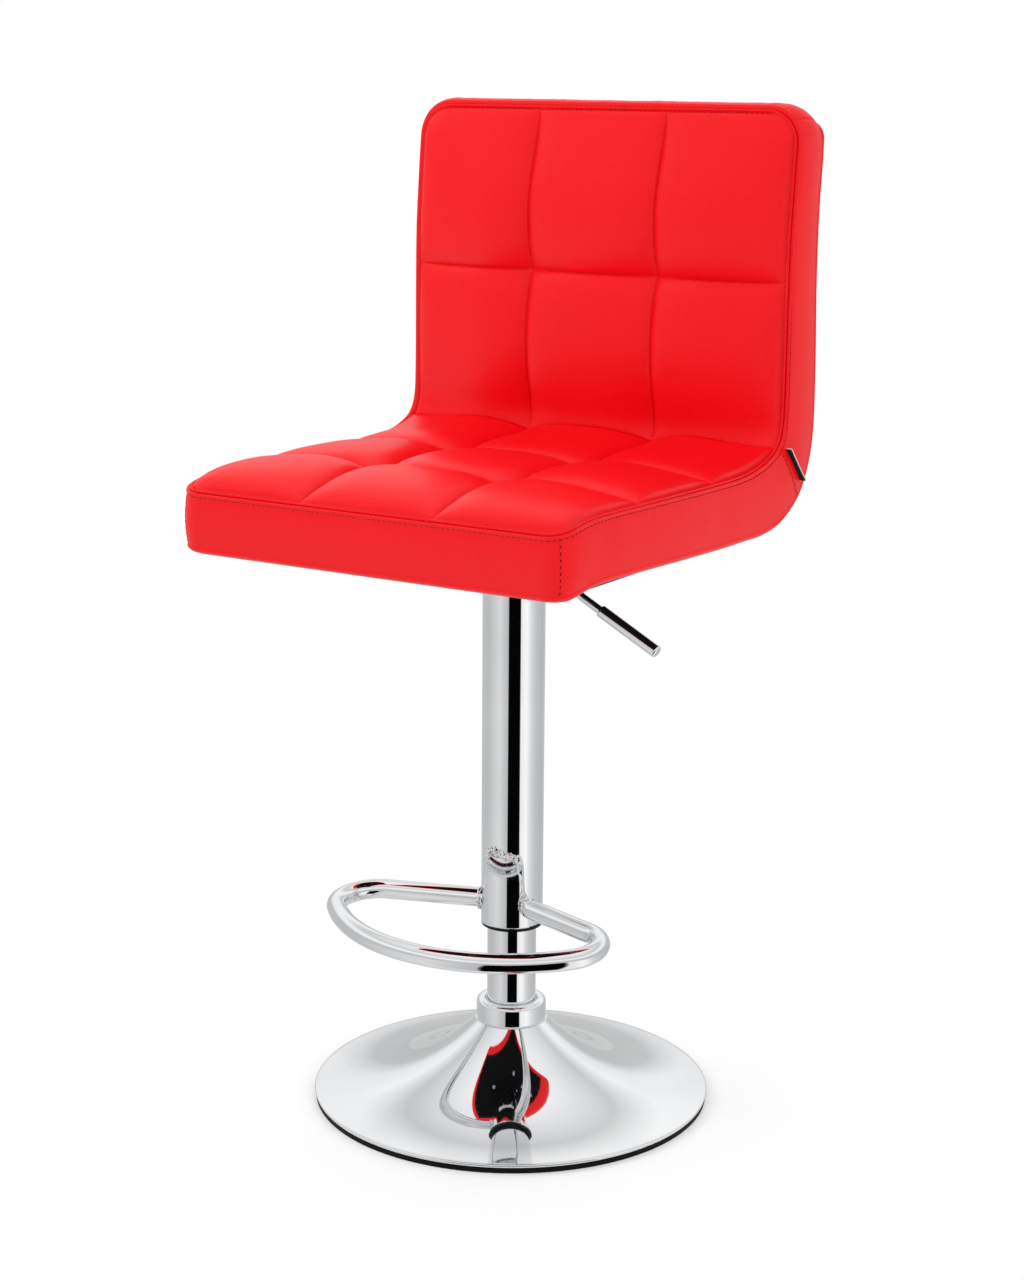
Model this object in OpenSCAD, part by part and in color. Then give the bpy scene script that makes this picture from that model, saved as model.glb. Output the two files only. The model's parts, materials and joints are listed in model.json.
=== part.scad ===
// Adjustable swivel stool with a gas lift, a D-shaped footrest and a padded L-shaped seat.
// Origin: column axis at the floor. +Z is up, the seat faces -Y, the height lever is on the +X side.
// The height slide is drawn 60 mm above its lowest stop.

/* [Base] */
// Diameter of the base disc
base_d = 387; // [360:1:420]
// Height of the neck of the base disc
base_h = 77; // [70:1:84]
// Diameter of the neck of the base disc
neck_d = 70; // [68:1:76]
// Thickness of the spun steel sheet
sheet = 1.6; // [1.2:0.1:2.0]
// Height of the chrome collar
collar_h = 21; // [16:1:24]

/* [Column] */
// Outer diameter of the standpipe
pipe_d = 47.6; // [47:0.1:48]
// Height of the top of the standpipe
pipe_top = 410; // [400:1:420]
// Outer diameter of the chrome sleeve
sleeve_d = 60; // [59:0.5:62]
// Height of the lower edge of the sleeve
sleeve_z = 179; // [170:1:190]
// Wall of the sleeve
sleeve_wall = 1.6; // [1.2:0.1:2.0]

/* [Footrest] */
// Diameter of the footrest tube
foot_d = 19; // [16:0.5:22]
// Height of the footrest tube at the column axis
foot_z = 202.6; // [200:0.1:206]
// Distance from the column axis to the front of the tube's centre line
foot_reach = 166.8; // [155:0.1:180]
// Radius of the front bow
foot_bow = 184.3; // [170:0.1:200]
// Radius of the two rear corners
foot_corner = 38.2; // [30:0.1:45]
// Angle by which the two arms sweep forward
foot_sweep = 15.9; // [10:0.1:22]
// Slope of the footrest down towards the front
foot_slope = 3; // [0:0.5:5]

/* [Seat] */
// Height of the underside of the seat
seat_z = 563; // [556:1:566]
// Thickness of the upholstered band
band = 62; // [56:1:66]
// Distance from the column axis to the front edge
seat_front = 237; // [225:1:250]
// Half of the width at the back
half_back = 208; // [200:1:216]
// Half of the width at the front corners
half_front = 200; // [192:1:206]
// Height of the top of the back
back_top = 952; // [900:1:980]
// Angle by which the back leans
lean = 2; // [0:0.5:5]
// Thickness of the bent plywood
ply = 12; // [10:1:15]
// Thickness of the cover
skin = 1.2; // [1:0.1:1.5]
// Height of the quilted pillows above the seams
crown = 24; // [15:1:26]

/* [Lever] */
// Diameter of the lever rod
lever_d = 8; // [6:0.5:9]
// Diameter of the lever grip
grip_d = 12; // [10:0.5:14]
// Length of the lever grip
grip_l = 60; // [45:1:75]

/* [Hidden] */
$fn = 96;
base_r = base_d / 2;
neck_r = neck_d / 2;
rim_z = 9;
rim_bottom = 6;
ballast_r = 172;
hub_neck_r = 30;
collar_r = 34;
collar_lip_r = 25.6;
race_r = 13;
race_t = 2;
ball_gap = 0.05;
spacer_top = 60;
pipe_r = pipe_d / 2;
pipe_bore = 22.3;
pipe_z = 8;
sleeve_r = sleeve_d / 2;
sleeve_bore = sleeve_r - sleeve_wall;
sleeve_top = seat_z - 33;
bush_h = 30;
glide_lip = 4;
rod_r = 5;
tail_r = 4;
groove_r = 4.2;
clip_z = 12.2;
clip_t = 1.4;
seal_r = 10;
seal_z = 5;
seal_h = 4;
piston_h = 14;
cyl_r = 14;
cyl_bore = 12;
cyl_z = 150;
cyl_top = seat_z - 22;
cyl_end = 3;
taper_z = cyl_top - 52;
valve_z = cyl_top - 41;
pin_z = valve_z + 20;
run = 0.06;
bush_z = 340;
hub_r = 19;
box_half = 36;
box_wall = 2.5;
box_z = seat_z - 30;
plate_half = 95;
plate_t = 2.5;
bolt_at = 75;
bolt_r = 4;
washer_r = 9;
washer_t = 1.5;
bolt_head = 5;
bolt_l = 17;
nut_r = 5;
nut_h = 10;
ball_r = 2.5;
ball_pitch = 9.5;
ball_z = 24.6;
balls = 8;
lever_r = lever_d / 2;
lever_z = seat_z - 13;
pin_gap = 0.2;
socket = 40;
pivot_x = 24;
pivot_r = 2.5;
bend_x = 42;
drop_angle = 60;
grip_angle = 27.5;
bend_1 = 12;
bend_2 = 20;
lever_drop = 33.4;
lever_run = 24.6;
saddle_turn = 12;
saddle_t = 2;
saddle_top = 263;
eps = 0.02;
thinner = 0.03;

seam_z = seat_z + band;
rear_r = 95;
rear_c = [121, seat_z + rear_r];
crook_r = 48;
crook_c = [100, seam_z + crook_r];
seat_col = [-190, -70, 70, 190];
back_col = [-200, -70, 70, 200];
seat_row = [-226, -112, 22, 97];
back_row = [3, 124, 272];
front_round = 22;
side_split = -seat_front + front_round;
glue = 0.03;
groove = 4;
pillow_edge = 2;
mitre = 43;
hem_y = 105;
cloth_x = 168;
cloth_front = 40 - seat_front;

// ---- helpers ----

module tube(r_out, r_in, z0, z1) {
    difference() {
        translate([0, 0, z0]) cylinder(r = r_out, h = z1 - z0);
        translate([0, 0, z0 - 1]) cylinder(r = r_in, h = z1 - z0 + 2);
    }
}

// Points of an arc about c, from angle a0 to angle a1
function arc(c, r, a0, a1, n = 10) =
    [for (i = [0:n]) let (a = a0 + (a1 - a0) * i / n) c + r * [cos(a), sin(a)]];

function reversed(list) = [for (i = [len(list) - 1:-1:0]) list[i]];

// Height of the flared base disc at radius r
function flare_part(r) = 1 - (r - neck_r) / (base_r - neck_r);
function flare_z(r) = rim_z + (base_h - rim_z)
    * (0.12 * flare_part(r) + 0.88 * pow(flare_part(r), 2.6));
function flare_slope(r) = (base_h - rim_z) / (base_r - neck_r)
    * (0.12 + 2.29 * pow(flare_part(r), 1.6));
function flare_inner(r) = flare_z(r) - sheet * sqrt(1 + pow(flare_slope(r), 2));

// ---- base ----

module base_disc() {
    n = 30;
    neck_hole = neck_r - 4;
    edge = 0.6;
    radii = [for (i = [0:n]) neck_r + (base_r - neck_r) * pow(i / n, 1.4)];
    inner = [for (i = [0:n - 1]) radii[i]];
    color("silver")
    rotate_extrude(convexity = 4)
    polygon(concat(
        [[neck_hole, base_h]],
        [for (r = radii) [r, flare_z(r)]],
        [[base_r, rim_bottom + edge], [base_r - edge, rim_bottom],
            [base_r - sheet, rim_bottom], [base_r - sheet, rim_z - sheet]],
        [for (r = reversed(inner)) [r, flare_inner(r)]],
        [[neck_hole, flare_inner(neck_r)]]));
}

module floor_ring() {
    r = base_r - 1.1;
    edge = 0.8;
    lip = 1.8;
    web = 5;
    foot = 14;
    foot_t = 3;
    color("#151515")
    rotate_extrude()
    polygon([[r - foot, 0], [r - edge, 0], [r, edge], [r, rim_bottom], [r - lip, rim_bottom],
        [r - lip, rim_bottom + edge], [r - web, rim_bottom + edge], [r - web, foot_t],
        [r - foot, foot_t]]);
}

module ballast_plate() {
    color("dimgray") tube(ballast_r, 20, 2, pipe_z);
}

module base_hub() {
    color("gray") {
        tube(hub_neck_r, pipe_r, pipe_z, base_h - 5);
        tube(58, hub_neck_r - eps, pipe_z, pipe_z + 4);
    }
}

module base_collar() {
    top = base_h + collar_h;
    edge = 4.5;
    inner = collar_r - 2;
    color("silver")
    rotate_extrude()
    polygon(concat(
        [[inner, base_h], [collar_r, base_h]],
        arc([collar_r - edge, top - edge], edge, 8, 90, 6),
        [[collar_lip_r, top], [collar_lip_r, top - 2.5], [pipe_r + 0.4, top - 4],
            [pipe_r + 0.4, top - 6], [inner, top - 8]]));
}

module standpipe() {
    color("silver") tube(pipe_r, pipe_bore, pipe_z, pipe_top);
}

module pipe_end_plate() {
    color("gray") tube(pipe_bore, rod_r + run, 14, 20);
}

module lower_race() {
    color("silver") tube(race_r, rod_r + 0.6, 20, ball_z - ball_r - ball_gap);
}

module guide_bush() {
    color("ivory") {
        tube(pipe_bore, cyl_r + run, bush_z, pipe_top);
        tube(pipe_r, cyl_r + run, pipe_top, pipe_top + 3);
    }
}

// ---- piston rod, turning on the thrust bearing ----

module piston_rod() {
    color("lightgray")
    rotate_extrude()
    polygon([[0, 9], [rod_r - 1, 9], [rod_r, 10], [rod_r, clip_z], [groove_r, clip_z],
        [groove_r, clip_z + clip_t], [rod_r, clip_z + clip_t], [rod_r, bush_z],
        [tail_r, bush_z], [tail_r, bush_z + 20], [0, bush_z + 20]]);
}

module retaining_clip() {
    color("dimgray")
    difference() {
        tube(8, groove_r, clip_z, clip_z + clip_t);
        translate([0, -2, clip_z - 1]) cube([10, 4, clip_t + 2]);
    }
}

module upper_race() {
    z = ball_z + ball_r + ball_gap;
    color("silver") tube(race_r, rod_r, z, z + race_t);
}

module rod_spacer() {
    color("gray") tube(8, rod_r, ball_z + ball_r + ball_gap + race_t, spacer_top);
}

module bump_stop() {
    r = 11;
    color("#202020") translate([0, 0, spacer_top])
    rotate_extrude()
    polygon([[rod_r, 0], [r, 0], [r, 6], [r - 1.5, 10], [r, 14], [r, 20], [r - 2, 28], [rod_r, 28]]);
}

module piston() {
    color("gray")
    difference() {
        tube(cyl_bore - 0.4, tail_r, bush_z, bush_z + piston_h);
        tube(cyl_bore + 1, seal_r, bush_z + seal_z, bush_z + seal_z + seal_h);
    }
}

module piston_seal() {
    color("#202020")
        tube(cyl_bore - run, seal_r, bush_z + seal_z, bush_z + seal_z + seal_h);
}

module piston_nut() {
    color("gray")
    difference() {
        translate([0, 0, bush_z + piston_h]) cylinder(r = 7.5, h = 6, $fn = 6);
        cylinder(r = tail_r, h = 500);
    }
}

// ---- ball cage, turning half as far as the rod ----

module at_balls() {
    for (i = [0:balls - 1]) rotate([0, 0, i * 360 / balls]) translate([ball_pitch, 0, ball_z])
        children();
}

module ball_cage() {
    color("goldenrod")
    difference() {
        tube(race_r - 0.2, rod_r + 1.2, ball_z - 1.2, ball_z + 1.2);
        at_balls() translate([0, 0, -3]) cylinder(r = ball_r + 0.1, h = 6);
    }
}

module bearing_balls() {
    color("whitesmoke") at_balls() sphere(r = ball_r);
}

// ---- gas cylinder and sleeve ----

module cylinder_body() {
    translate([0, 0, cyl_z]) cylinder(r = cyl_r, h = taper_z - cyl_z);
    translate([0, 0, taper_z]) cylinder(r1 = cyl_r, r2 = cyl_r - 1, h = cyl_top - taper_z);
}

module gas_cylinder() {
    color("#282828")
    difference() {
        cylinder_body();
        translate([0, 0, cyl_z - 1]) cylinder(r = cyl_bore, h = cyl_top - cyl_end - cyl_z + 1);
        translate([0, 0, cyl_top - 10]) cylinder(r = tail_r + 0.3, h = 20);
    }
}

module rod_guide() {
    color("gray") tube(cyl_bore, rod_r + run, cyl_z, cyl_z + 14);
}

module rod_seal() {
    color("#202020") tube(cyl_bore, rod_r + run, cyl_z + 14, cyl_z + 20);
}

module valve_body() {
    color("gray")
    difference() {
        translate([0, 0, valve_z]) cylinder(r = cyl_bore, h = cyl_top - cyl_end - valve_z);
        translate([0, 0, pin_z - 6]) cylinder(r = tail_r + run, h = 40);
        translate([0, 0, valve_z - 10]) cylinder(r = 1, h = 40);
    }
}

module sleeve() {
    color("silver") tube(sleeve_r, sleeve_bore, sleeve_z, sleeve_top);
}

module sleeve_glide_ring() {
    color("#101010") {
        tube(sleeve_r - 0.4, pipe_r + 0.4, sleeve_z - glide_lip, sleeve_z);
        tube(sleeve_bore, pipe_r + 0.4, sleeve_z, sleeve_z + 14);
    }
}

module sleeve_top_bush() {
    color("#202020") tube(sleeve_bore, hub_r, sleeve_top - bush_h, sleeve_top);
}

// ---- footrest ----

module saddle_outline() {
    side = 31;
    neck = 14.5;
    curve = 34;
    flank_z = saddle_top - 23;
    right = concat([[side, sleeve_z], [side, sleeve_z + 25]],
        reversed(arc([neck + curve, flank_z], curve, 180, 235, 8)),
        [[neck, saddle_top - 4], [neck - 4, saddle_top]]);
    left = reversed([for (p = right) [-p[0], p[1]]]);
    polygon(concat(right, left));
}

// Curved plate that holds the loop to the front of the sleeve, with a rolled lip at its top
module footrest_saddle() {
    color("silver")
    rotate([0, 0, saddle_turn]) {
        intersection() {
            tube(sleeve_r + saddle_t, sleeve_r, sleeve_z, saddle_top);
            translate([0, -1, 0]) rotate([90, 0, 0]) linear_extrude(height = 50) saddle_outline();
        }
        difference() {
            translate([0, 0, saddle_top - 2]) rotate([0, 0, -90 - 24])
                rotate_extrude(angle = 48) translate([sleeve_r + 1.6, 0]) circle(r = 2.2, $fn = 24);
            cylinder(r = sleeve_r + saddle_t, h = 600);
        }
    }
}

// The loop is a straight arm and a corner on each side, and one front bow
bow_c = [0, foot_bow - foot_reach];
arm_dir = [cos(foot_sweep), -sin(foot_sweep)];
arm_normal = [sin(foot_sweep), cos(foot_sweep)];
arm_start = [25.2, -19.8];
across = arm_normal * (arm_start - bow_c) - foot_corner;
corner_c = bow_c + across * arm_normal
    + sqrt(pow(foot_bow - foot_corner, 2) - across * across) * arm_dir;
arm_l = arm_dir * (corner_c - arm_start);
bow_angle = atan2(corner_c[1] - bow_c[1], corner_c[0] - bow_c[0]);

module bent_tube(c, radius, a0, a1, r) {
    translate([c[0], c[1], 0]) rotate([0, 0, a0]) rotate_extrude(angle = a1 - a0)
        translate([radius, 0]) circle(r = r);
}

// A bend is a hair thinner than the straight tube, and it runs a little way into it
module side_of_loop(r) {
    reach = 12;
    start = arm_start - reach * arm_dir;
    lap = 0.8;
    translate([start[0], start[1], 0]) rotate([0, 90, -foot_sweep])
        cylinder(r = r, h = arm_l + reach);
    bent_tube(corner_c, foot_corner, bow_angle - lap, 90 - foot_sweep + lap, r - thinner);
}

module footrest_loop() {
    r = foot_d / 2;
    color("silver")
    difference() {
        translate([0, 0, foot_z]) rotate([foot_slope, 0, 0])
        union() {
            side_of_loop(r);
            mirror([1, 0, 0]) side_of_loop(r);
            bent_tube(bow_c, foot_bow, -180 - bow_angle, bow_angle, r);
        }
        cylinder(r = sleeve_r + saddle_t + eps, h = 600);
    }
}

// ---- seat plate and lever mechanism ----

module plate_hub() {
    color("dimgray")
    difference() {
        translate([0, 0, taper_z - 1]) cylinder(r = hub_r, h = box_z + box_wall - taper_z + 1);
        cylinder_body();
    }
}

module bolt_places() {
    for (x = [-bolt_at, bolt_at], y = [-bolt_at, bolt_at]) translate([x, y, 0]) children();
}

module seat_plate() {
    outer = box_half + box_wall;
    cut = 18;
    h = plate_half;
    flange_z = seat_z - plate_t;
    color("#1c1c1c")
    difference() {
        union() {
            translate([0, 0, flange_z]) linear_extrude(height = plate_t)
                polygon([[h, h - cut], [h - cut, h], [cut - h, h], [-h, h - cut], [-h, cut - h],
                    [cut - h, -h], [h - cut, -h], [h, cut - h]]);
            translate([-outer, -outer, box_z]) cube([2 * outer, 2 * outer, flange_z - box_z + 1]);
        }
        translate([-box_half, -box_half, box_z + box_wall])
            cube([2 * box_half, 2 * box_half, 60]);
        cylinder(r = hub_r, h = 600);
        translate([0, -8, lever_z - 9]) cube([60, 16, flange_z - lever_z + 7]);
        bolt_places() cylinder(r = bolt_r + 0.3, h = 700);
    }
}

module lever_bracket() {
    floor_z = box_z + box_wall;
    color("dimgray")
    difference() {
        for (side = [-1, 1]) translate([pivot_x - 6, side * 10 - 1.5, floor_z])
            cube([12, 3, lever_z + 6 - floor_z]);
        translate([pivot_x, 0, lever_z]) rotate([90, 0, 0])
            cylinder(r = pivot_r, h = 60, center = true);
        cylinder(r = hub_r, h = lever_z - 10);
    }
}

module lever_pin() {
    color("silver") translate([pivot_x, 0, lever_z]) rotate([90, 0, 0]) {
        cylinder(r = pivot_r, h = 26, center = true);
        translate([0, 0, 13]) cylinder(r = 4, h = 1.5);
    }
}

module plate_bolts() {
    head_z = seat_z - plate_t - washer_t;
    color("silver") bolt_places() {
        translate([0, 0, head_z - bolt_head]) cylinder(r = 7, h = bolt_head, $fn = 6);
        translate([0, 0, head_z]) cylinder(r = bolt_r, h = bolt_l);
    }
}

module bolt_washers() {
    color("silver") bolt_places()
        tube(washer_r, bolt_r + 0.3, seat_z - plate_t - washer_t, seat_z - plate_t);
}

module tee_nuts() {
    top = seat_z + skin + ply;
    color("silver") bolt_places() {
        tube(nut_r, bolt_r + 0.05, top - nut_h, top);
        tube(washer_r, nut_r - eps, top - washer_t, top);
    }
}

// ---- upholstery ----

// Outer line of the side view, from the front edge to the top of the back, d inside the surface
function outer_line(d, e) =
    let (arc_end = rear_c + (rear_r - d) * [cos(lean), -sin(lean)],
        top = back_top - e)
    concat([[e - seat_front, seat_z + d]],
        arc(rear_c, rear_r - d, -90, -lean, 14),
        [[arc_end[0] + (top - arc_end[1]) * tan(lean), top]]);

// Inner line of the side view: the top of the seat and the front of the back
function inner_line(d, e) =
    let (arc_end = crook_c + (crook_r + d) * [cos(lean), -sin(lean)],
        top = back_top - e)
    concat([[e - seat_front, seam_z - d]],
        arc(crook_c, crook_r + d, -90, -lean, 12),
        [[arc_end[0] + (top - arc_end[1]) * tan(lean), top]]);

module side_view(line_a, line_b) {
    rotate([90, 0, 90]) translate([0, 0, -250]) linear_extrude(height = 500)
        polygon(concat(line_a, reversed(line_b)));
}

module plan(d) {
    front = [half_front - front_round, front_round - seat_front];
    right = concat([[0, d - seat_front]], arc(front, front_round - d, -90, 0, 8),
        [[half_back - 2 - d, -110], [half_back - d, 60], [half_back - d, 300]]);
    left = reversed([for (p = right) [-p[0], p[1]]]);
    translate([0, 0, 500]) linear_extrude(height = 600) polygon(concat(right, left));
}

module padded_body(line_a, line_b, d) {
    intersection() {
        side_view(line_a, line_b);
        plan(d);
    }
}

module before(y) {
    translate([-300, y - 600, 400]) cube([600, 600, 800]);
}

module behind(y) {
    translate([-300, y, 400]) cube([600, 600, 800]);
}

module ply_shell() {
    color("burlywood")
    difference() {
        padded_body(outer_line(skin, skin + 4), outer_line(skin + ply, skin + 4), skin + 4);
        bolt_places() {
            cylinder(r = nut_r, h = 600);
            translate([0, 0, seat_z + skin + ply - washer_t]) cylinder(r = washer_r, h = 20);
        }
    }
}

module foam_block() {
    padded_body(outer_line(skin + ply + glue, skin), inner_line(skin, skin), skin);
}

// A crowned pillow on the plane z = 0, d inside its outer surface: a block rounded by a large sphere
module pillow(x0, x1, y0, y1, d, depth) {
    wx = x1 - x0 - groove;
    wy = y1 - y0 - groove;
    half = norm([wx, wy]) / 2;
    drop = crown - pillow_edge;
    r = (half * half + drop * drop) / (2 * drop);
    translate([(x0 + x1) / 2, (y0 + y1) / 2, 0]) intersection() {
        translate([d - wx / 2, d - wy / 2, -depth])
            cube([wx - 2 * d, wy - 2 * d, crown + depth]);
        translate([0, 0, crown - r]) rotate([90, 0, 0]) sphere(r = r - d);
    }
}

module pillows(cols, rows, d, depth) {
    for (i = [0:2], j = [0:len(rows) - 2])
        pillow(cols[i], cols[i + 1], rows[j], rows[j + 1], d, depth);
}

module seat_pillows(d, depth) {
    translate([0, 0, seam_z]) pillows(seat_col, seat_row, d, depth);
}

module back_pillows(d, depth) {
    start = crook_c + crook_r * [cos(lean), -sin(lean)];
    translate([0, start[0], start[1]]) rotate([90 - lean, 0, 0])
        pillows(back_col, back_row, d, depth);
}

module seat_foam() {
    color("khaki") {
        intersection() {
            foam_block();
            before(crook_c[0]);
        }
        seat_pillows(skin, 2 * skin);
    }
}

module back_foam() {
    color("khaki") {
        intersection() {
            foam_block();
            behind(crook_c[0]);
        }
        back_pillows(skin, 2 * skin);
    }
}

module inner_skin() {
    padded_body(inner_line(skin, skin), inner_line(0, skin), skin);
}

module seat_cover() {
    color("red") difference() {
        union() {
            intersection() {
                inner_skin();
                before(crook_c[0]);
            }
            seat_pillows(0, skin / 2);
        }
        seat_pillows(skin, 2 * skin);
    }
}

module back_cover() {
    color("red") difference() {
        union() {
            intersection() {
                inner_skin();
                behind(crook_c[0]);
            }
            back_pillows(0, skin / 2);
        }
        back_pillows(skin, 2 * skin);
    }
}

module edge_band() {
    difference() {
        padded_body(outer_line(0, 0), inner_line(0, 0), 0);
        plan(skin);
    }
}

// The side bands are sewn from a seat piece and a back piece, joined along a mitre
module seat_side_of_mitre() {
    translate([0, crook_c[0], crook_c[1]]) rotate([-mitre, 0, 0])
        translate([-300, -800, -800]) cube([600, 1600, 800]);
}

module right_half() {
    translate([0, -400, 400]) cube([400, 800, 800]);
}

module side_band() {
    intersection() {
        edge_band();
        behind(side_split);
        right_half();
    }
}

module seat_band() {
    intersection() {
        side_band();
        seat_side_of_mitre();
    }
}

module back_band() {
    difference() {
        side_band();
        seat_side_of_mitre();
    }
}

module right_seat_band() {
    color("red") seat_band();
}

module right_back_band() {
    color("red") back_band();
}

module left_seat_band() {
    color("red") mirror([1, 0, 0]) seat_band();
}

module left_back_band() {
    color("red") mirror([1, 0, 0]) back_band();
}

module front_band() {
    color("red") intersection() {
        edge_band();
        before(side_split);
    }
}

module top_band() {
    color("red") intersection() {
        padded_body(outer_line(0, 0), inner_line(0, 0), skin);
        translate([-300, 0, back_top - skin]) cube([600, 400, 100]);
    }
}

module outer_skin() {
    padded_body(outer_line(0, skin), outer_line(skin, skin), skin);
}

module rear_cover() {
    color("red") intersection() {
        outer_skin();
        behind(hem_y);
    }
}

module cloth_area() {
    translate([-cloth_x, cloth_front, 500]) cube([2 * cloth_x, hem_y - cloth_front, 100]);
}

module cover_hem() {
    color("red") difference() {
        intersection() {
            outer_skin();
            before(hem_y);
        }
        cloth_area();
    }
}

module underside_cover() {
    color("#181818") difference() {
        intersection() {
            outer_skin();
            cloth_area();
        }
        bolt_places() cylinder(r = bolt_r + 0.5, h = 700);
    }
}

// Staples along the edge of the cloth, with their crowns on its surface
module cover_staples() {
    crown_l = 10;
    wire = 0.7;
    proud = 0.5;
    inset = 6;
    corner = 12;
    nx = 9;
    ny = 8;
    z = seat_z - proud;
    step_x = 2 * (cloth_x - corner) / (nx - 1);
    step_y = (hem_y - cloth_front - 2 * corner) / (ny - 1);
    color("lightgray") {
        for (i = [0:nx - 1], y = [cloth_front + inset, hem_y - inset])
            translate([corner - cloth_x + i * step_x - crown_l / 2, y, z])
                cube([crown_l, wire, proud]);
        for (i = [0:ny - 1], x = [inset - cloth_x, cloth_x - inset])
            translate([x, cloth_front + corner + i * step_y - crown_l / 2, z])
                cube([wire, crown_l, proud]);
    }
}

// Blank folded label sewn into the mitre seam on the lever side
module seam_tag() {
    along = 92;
    length = 44;
    width = 8;
    thick = 1.4;
    color("#202020") translate([half_back, crook_c[0], crook_c[1]]) rotate([-mitre, 0, 0])
        translate([0, along - length / 2, -thick / 2]) cube([width, length, thick]);
}

// ---- lever ----

// The rod bends down at c1, runs straight from e1 to e2, and bends back up at c2
c1 = [bend_x, lever_z - bend_1];
e1 = c1 + bend_1 * [sin(drop_angle), cos(drop_angle)];
e2 = e1 + lever_drop * [cos(drop_angle), -sin(drop_angle)];
c2 = e2 + bend_2 * [sin(drop_angle), cos(drop_angle)];
e3 = c2 - bend_2 * [sin(grip_angle), cos(grip_angle)];
grip_start = e3 + lever_run * [cos(grip_angle), -sin(grip_angle)];

module at_grip() {
    translate([grip_start[0], 0, grip_start[1]]) rotate([0, 90 + grip_angle, 0]) children();
}

module lever_rod() {
    color("silver")
    difference() {
        union() {
            translate([0, 0, lever_z]) sphere(r = lever_r);
            translate([0, 0, lever_z]) rotate([0, 90, 0]) cylinder(r = lever_r, h = bend_x);
            translate([pivot_x, 0, lever_z]) rotate([90, 0, 0])
                cylinder(r = 6, h = 15, center = true);
            lever_bend(c1, bend_1, 90 - drop_angle, 90);
            translate([e1[0], 0, e1[1]]) rotate([0, 90 + drop_angle, 0])
                cylinder(r = lever_r, h = lever_drop);
            lever_bend(c2, bend_2, 270 - drop_angle, 270 - grip_angle);
            at_grip() translate([0, 0, -lever_run]) cylinder(r = lever_r, h = lever_run + socket);
        }
        translate([pivot_x, 0, lever_z]) rotate([90, 0, 0])
            cylinder(r = pivot_r + 0.05, h = 60, center = true);
    }
}

module lever_bend(c, radius, a0, a1) {
    lap = 1.5;
    translate([c[0], 0, c[1]]) rotate([90, 0, 0]) rotate([0, 0, a0 - lap])
        rotate_extrude(angle = a1 - a0 + 2 * lap) translate([radius, 0])
            circle(r = lever_r - thinner);
}

module lever_grip() {
    color("dimgray")
    at_grip() difference() {
        union() {
            cylinder(r = grip_d / 2, h = grip_l);
            translate([0, 0, grip_l]) sphere(r = grip_d / 2);
        }
        translate([0, 0, -1]) cylinder(r = lever_r, h = socket + 1);
    }
}

module release_pin() {
    color("silver") translate([0, 0, pin_z])
        cylinder(r = tail_r, h = lever_z - lever_r - pin_gap - pin_z);
}

floor_ring();
base_disc();
ballast_plate();
base_hub();
base_collar();
standpipe();
pipe_end_plate();
lower_race();
guide_bush();
piston_rod();
retaining_clip();
upper_race();
rod_spacer();
bump_stop();
piston();
piston_seal();
piston_nut();
ball_cage();
bearing_balls();
gas_cylinder();
rod_guide();
rod_seal();
valve_body();
sleeve();
sleeve_glide_ring();
sleeve_top_bush();
footrest_saddle();
footrest_loop();
plate_hub();
seat_plate();
lever_bracket();
lever_pin();
plate_bolts();
bolt_washers();
tee_nuts();
ply_shell();
seat_foam();
back_foam();
seat_cover();
back_cover();
left_seat_band();
left_back_band();
right_seat_band();
right_back_band();
front_band();
top_band();
rear_cover();
cover_hem();
underside_cover();
cover_staples();
seam_tag();
lever_rod();
lever_grip();
release_pin();
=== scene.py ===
import json
import math
import random

import bmesh
import bpy
import numpy as np
from mathutils import Matrix, Vector


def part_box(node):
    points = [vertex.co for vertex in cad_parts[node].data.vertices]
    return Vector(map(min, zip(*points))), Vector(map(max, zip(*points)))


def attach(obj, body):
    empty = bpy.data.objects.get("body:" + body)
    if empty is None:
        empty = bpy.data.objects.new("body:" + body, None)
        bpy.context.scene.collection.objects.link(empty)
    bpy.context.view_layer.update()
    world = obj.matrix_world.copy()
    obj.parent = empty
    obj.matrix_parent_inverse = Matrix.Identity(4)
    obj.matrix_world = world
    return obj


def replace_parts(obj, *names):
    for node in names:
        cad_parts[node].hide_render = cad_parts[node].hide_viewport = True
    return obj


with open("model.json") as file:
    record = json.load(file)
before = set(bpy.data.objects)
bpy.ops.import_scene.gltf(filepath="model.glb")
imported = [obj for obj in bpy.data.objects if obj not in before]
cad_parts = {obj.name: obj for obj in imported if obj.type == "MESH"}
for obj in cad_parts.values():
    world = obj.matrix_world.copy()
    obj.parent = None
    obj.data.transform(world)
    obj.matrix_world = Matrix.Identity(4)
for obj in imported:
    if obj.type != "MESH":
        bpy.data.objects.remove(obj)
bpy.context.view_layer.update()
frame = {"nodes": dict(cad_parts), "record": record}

MM = 0.001
nodes = frame["nodes"]
rng = random.Random(7)


# ---------------------------------------------------------------- camera

CAMERA_AZ = math.radians(32.4)      # from the front (-Y) towards the lever side (+X)
CAMERA_EL = math.radians(13.2)
CAMERA_ROLL = math.radians(0.4)
CAMERA_DIST = 2.3531
CAMERA_TARGET = (-0.0018, 0.4577)   # to the right of the axis in the picture, and height
FRAME_PX = (1024, 1280)
FOCAL_PX = 2476.1
SENSOR = 36.0


def new_object(name, data):
    obj = bpy.data.objects.new(name, data)
    bpy.context.scene.collection.objects.link(obj)
    return obj


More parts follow.
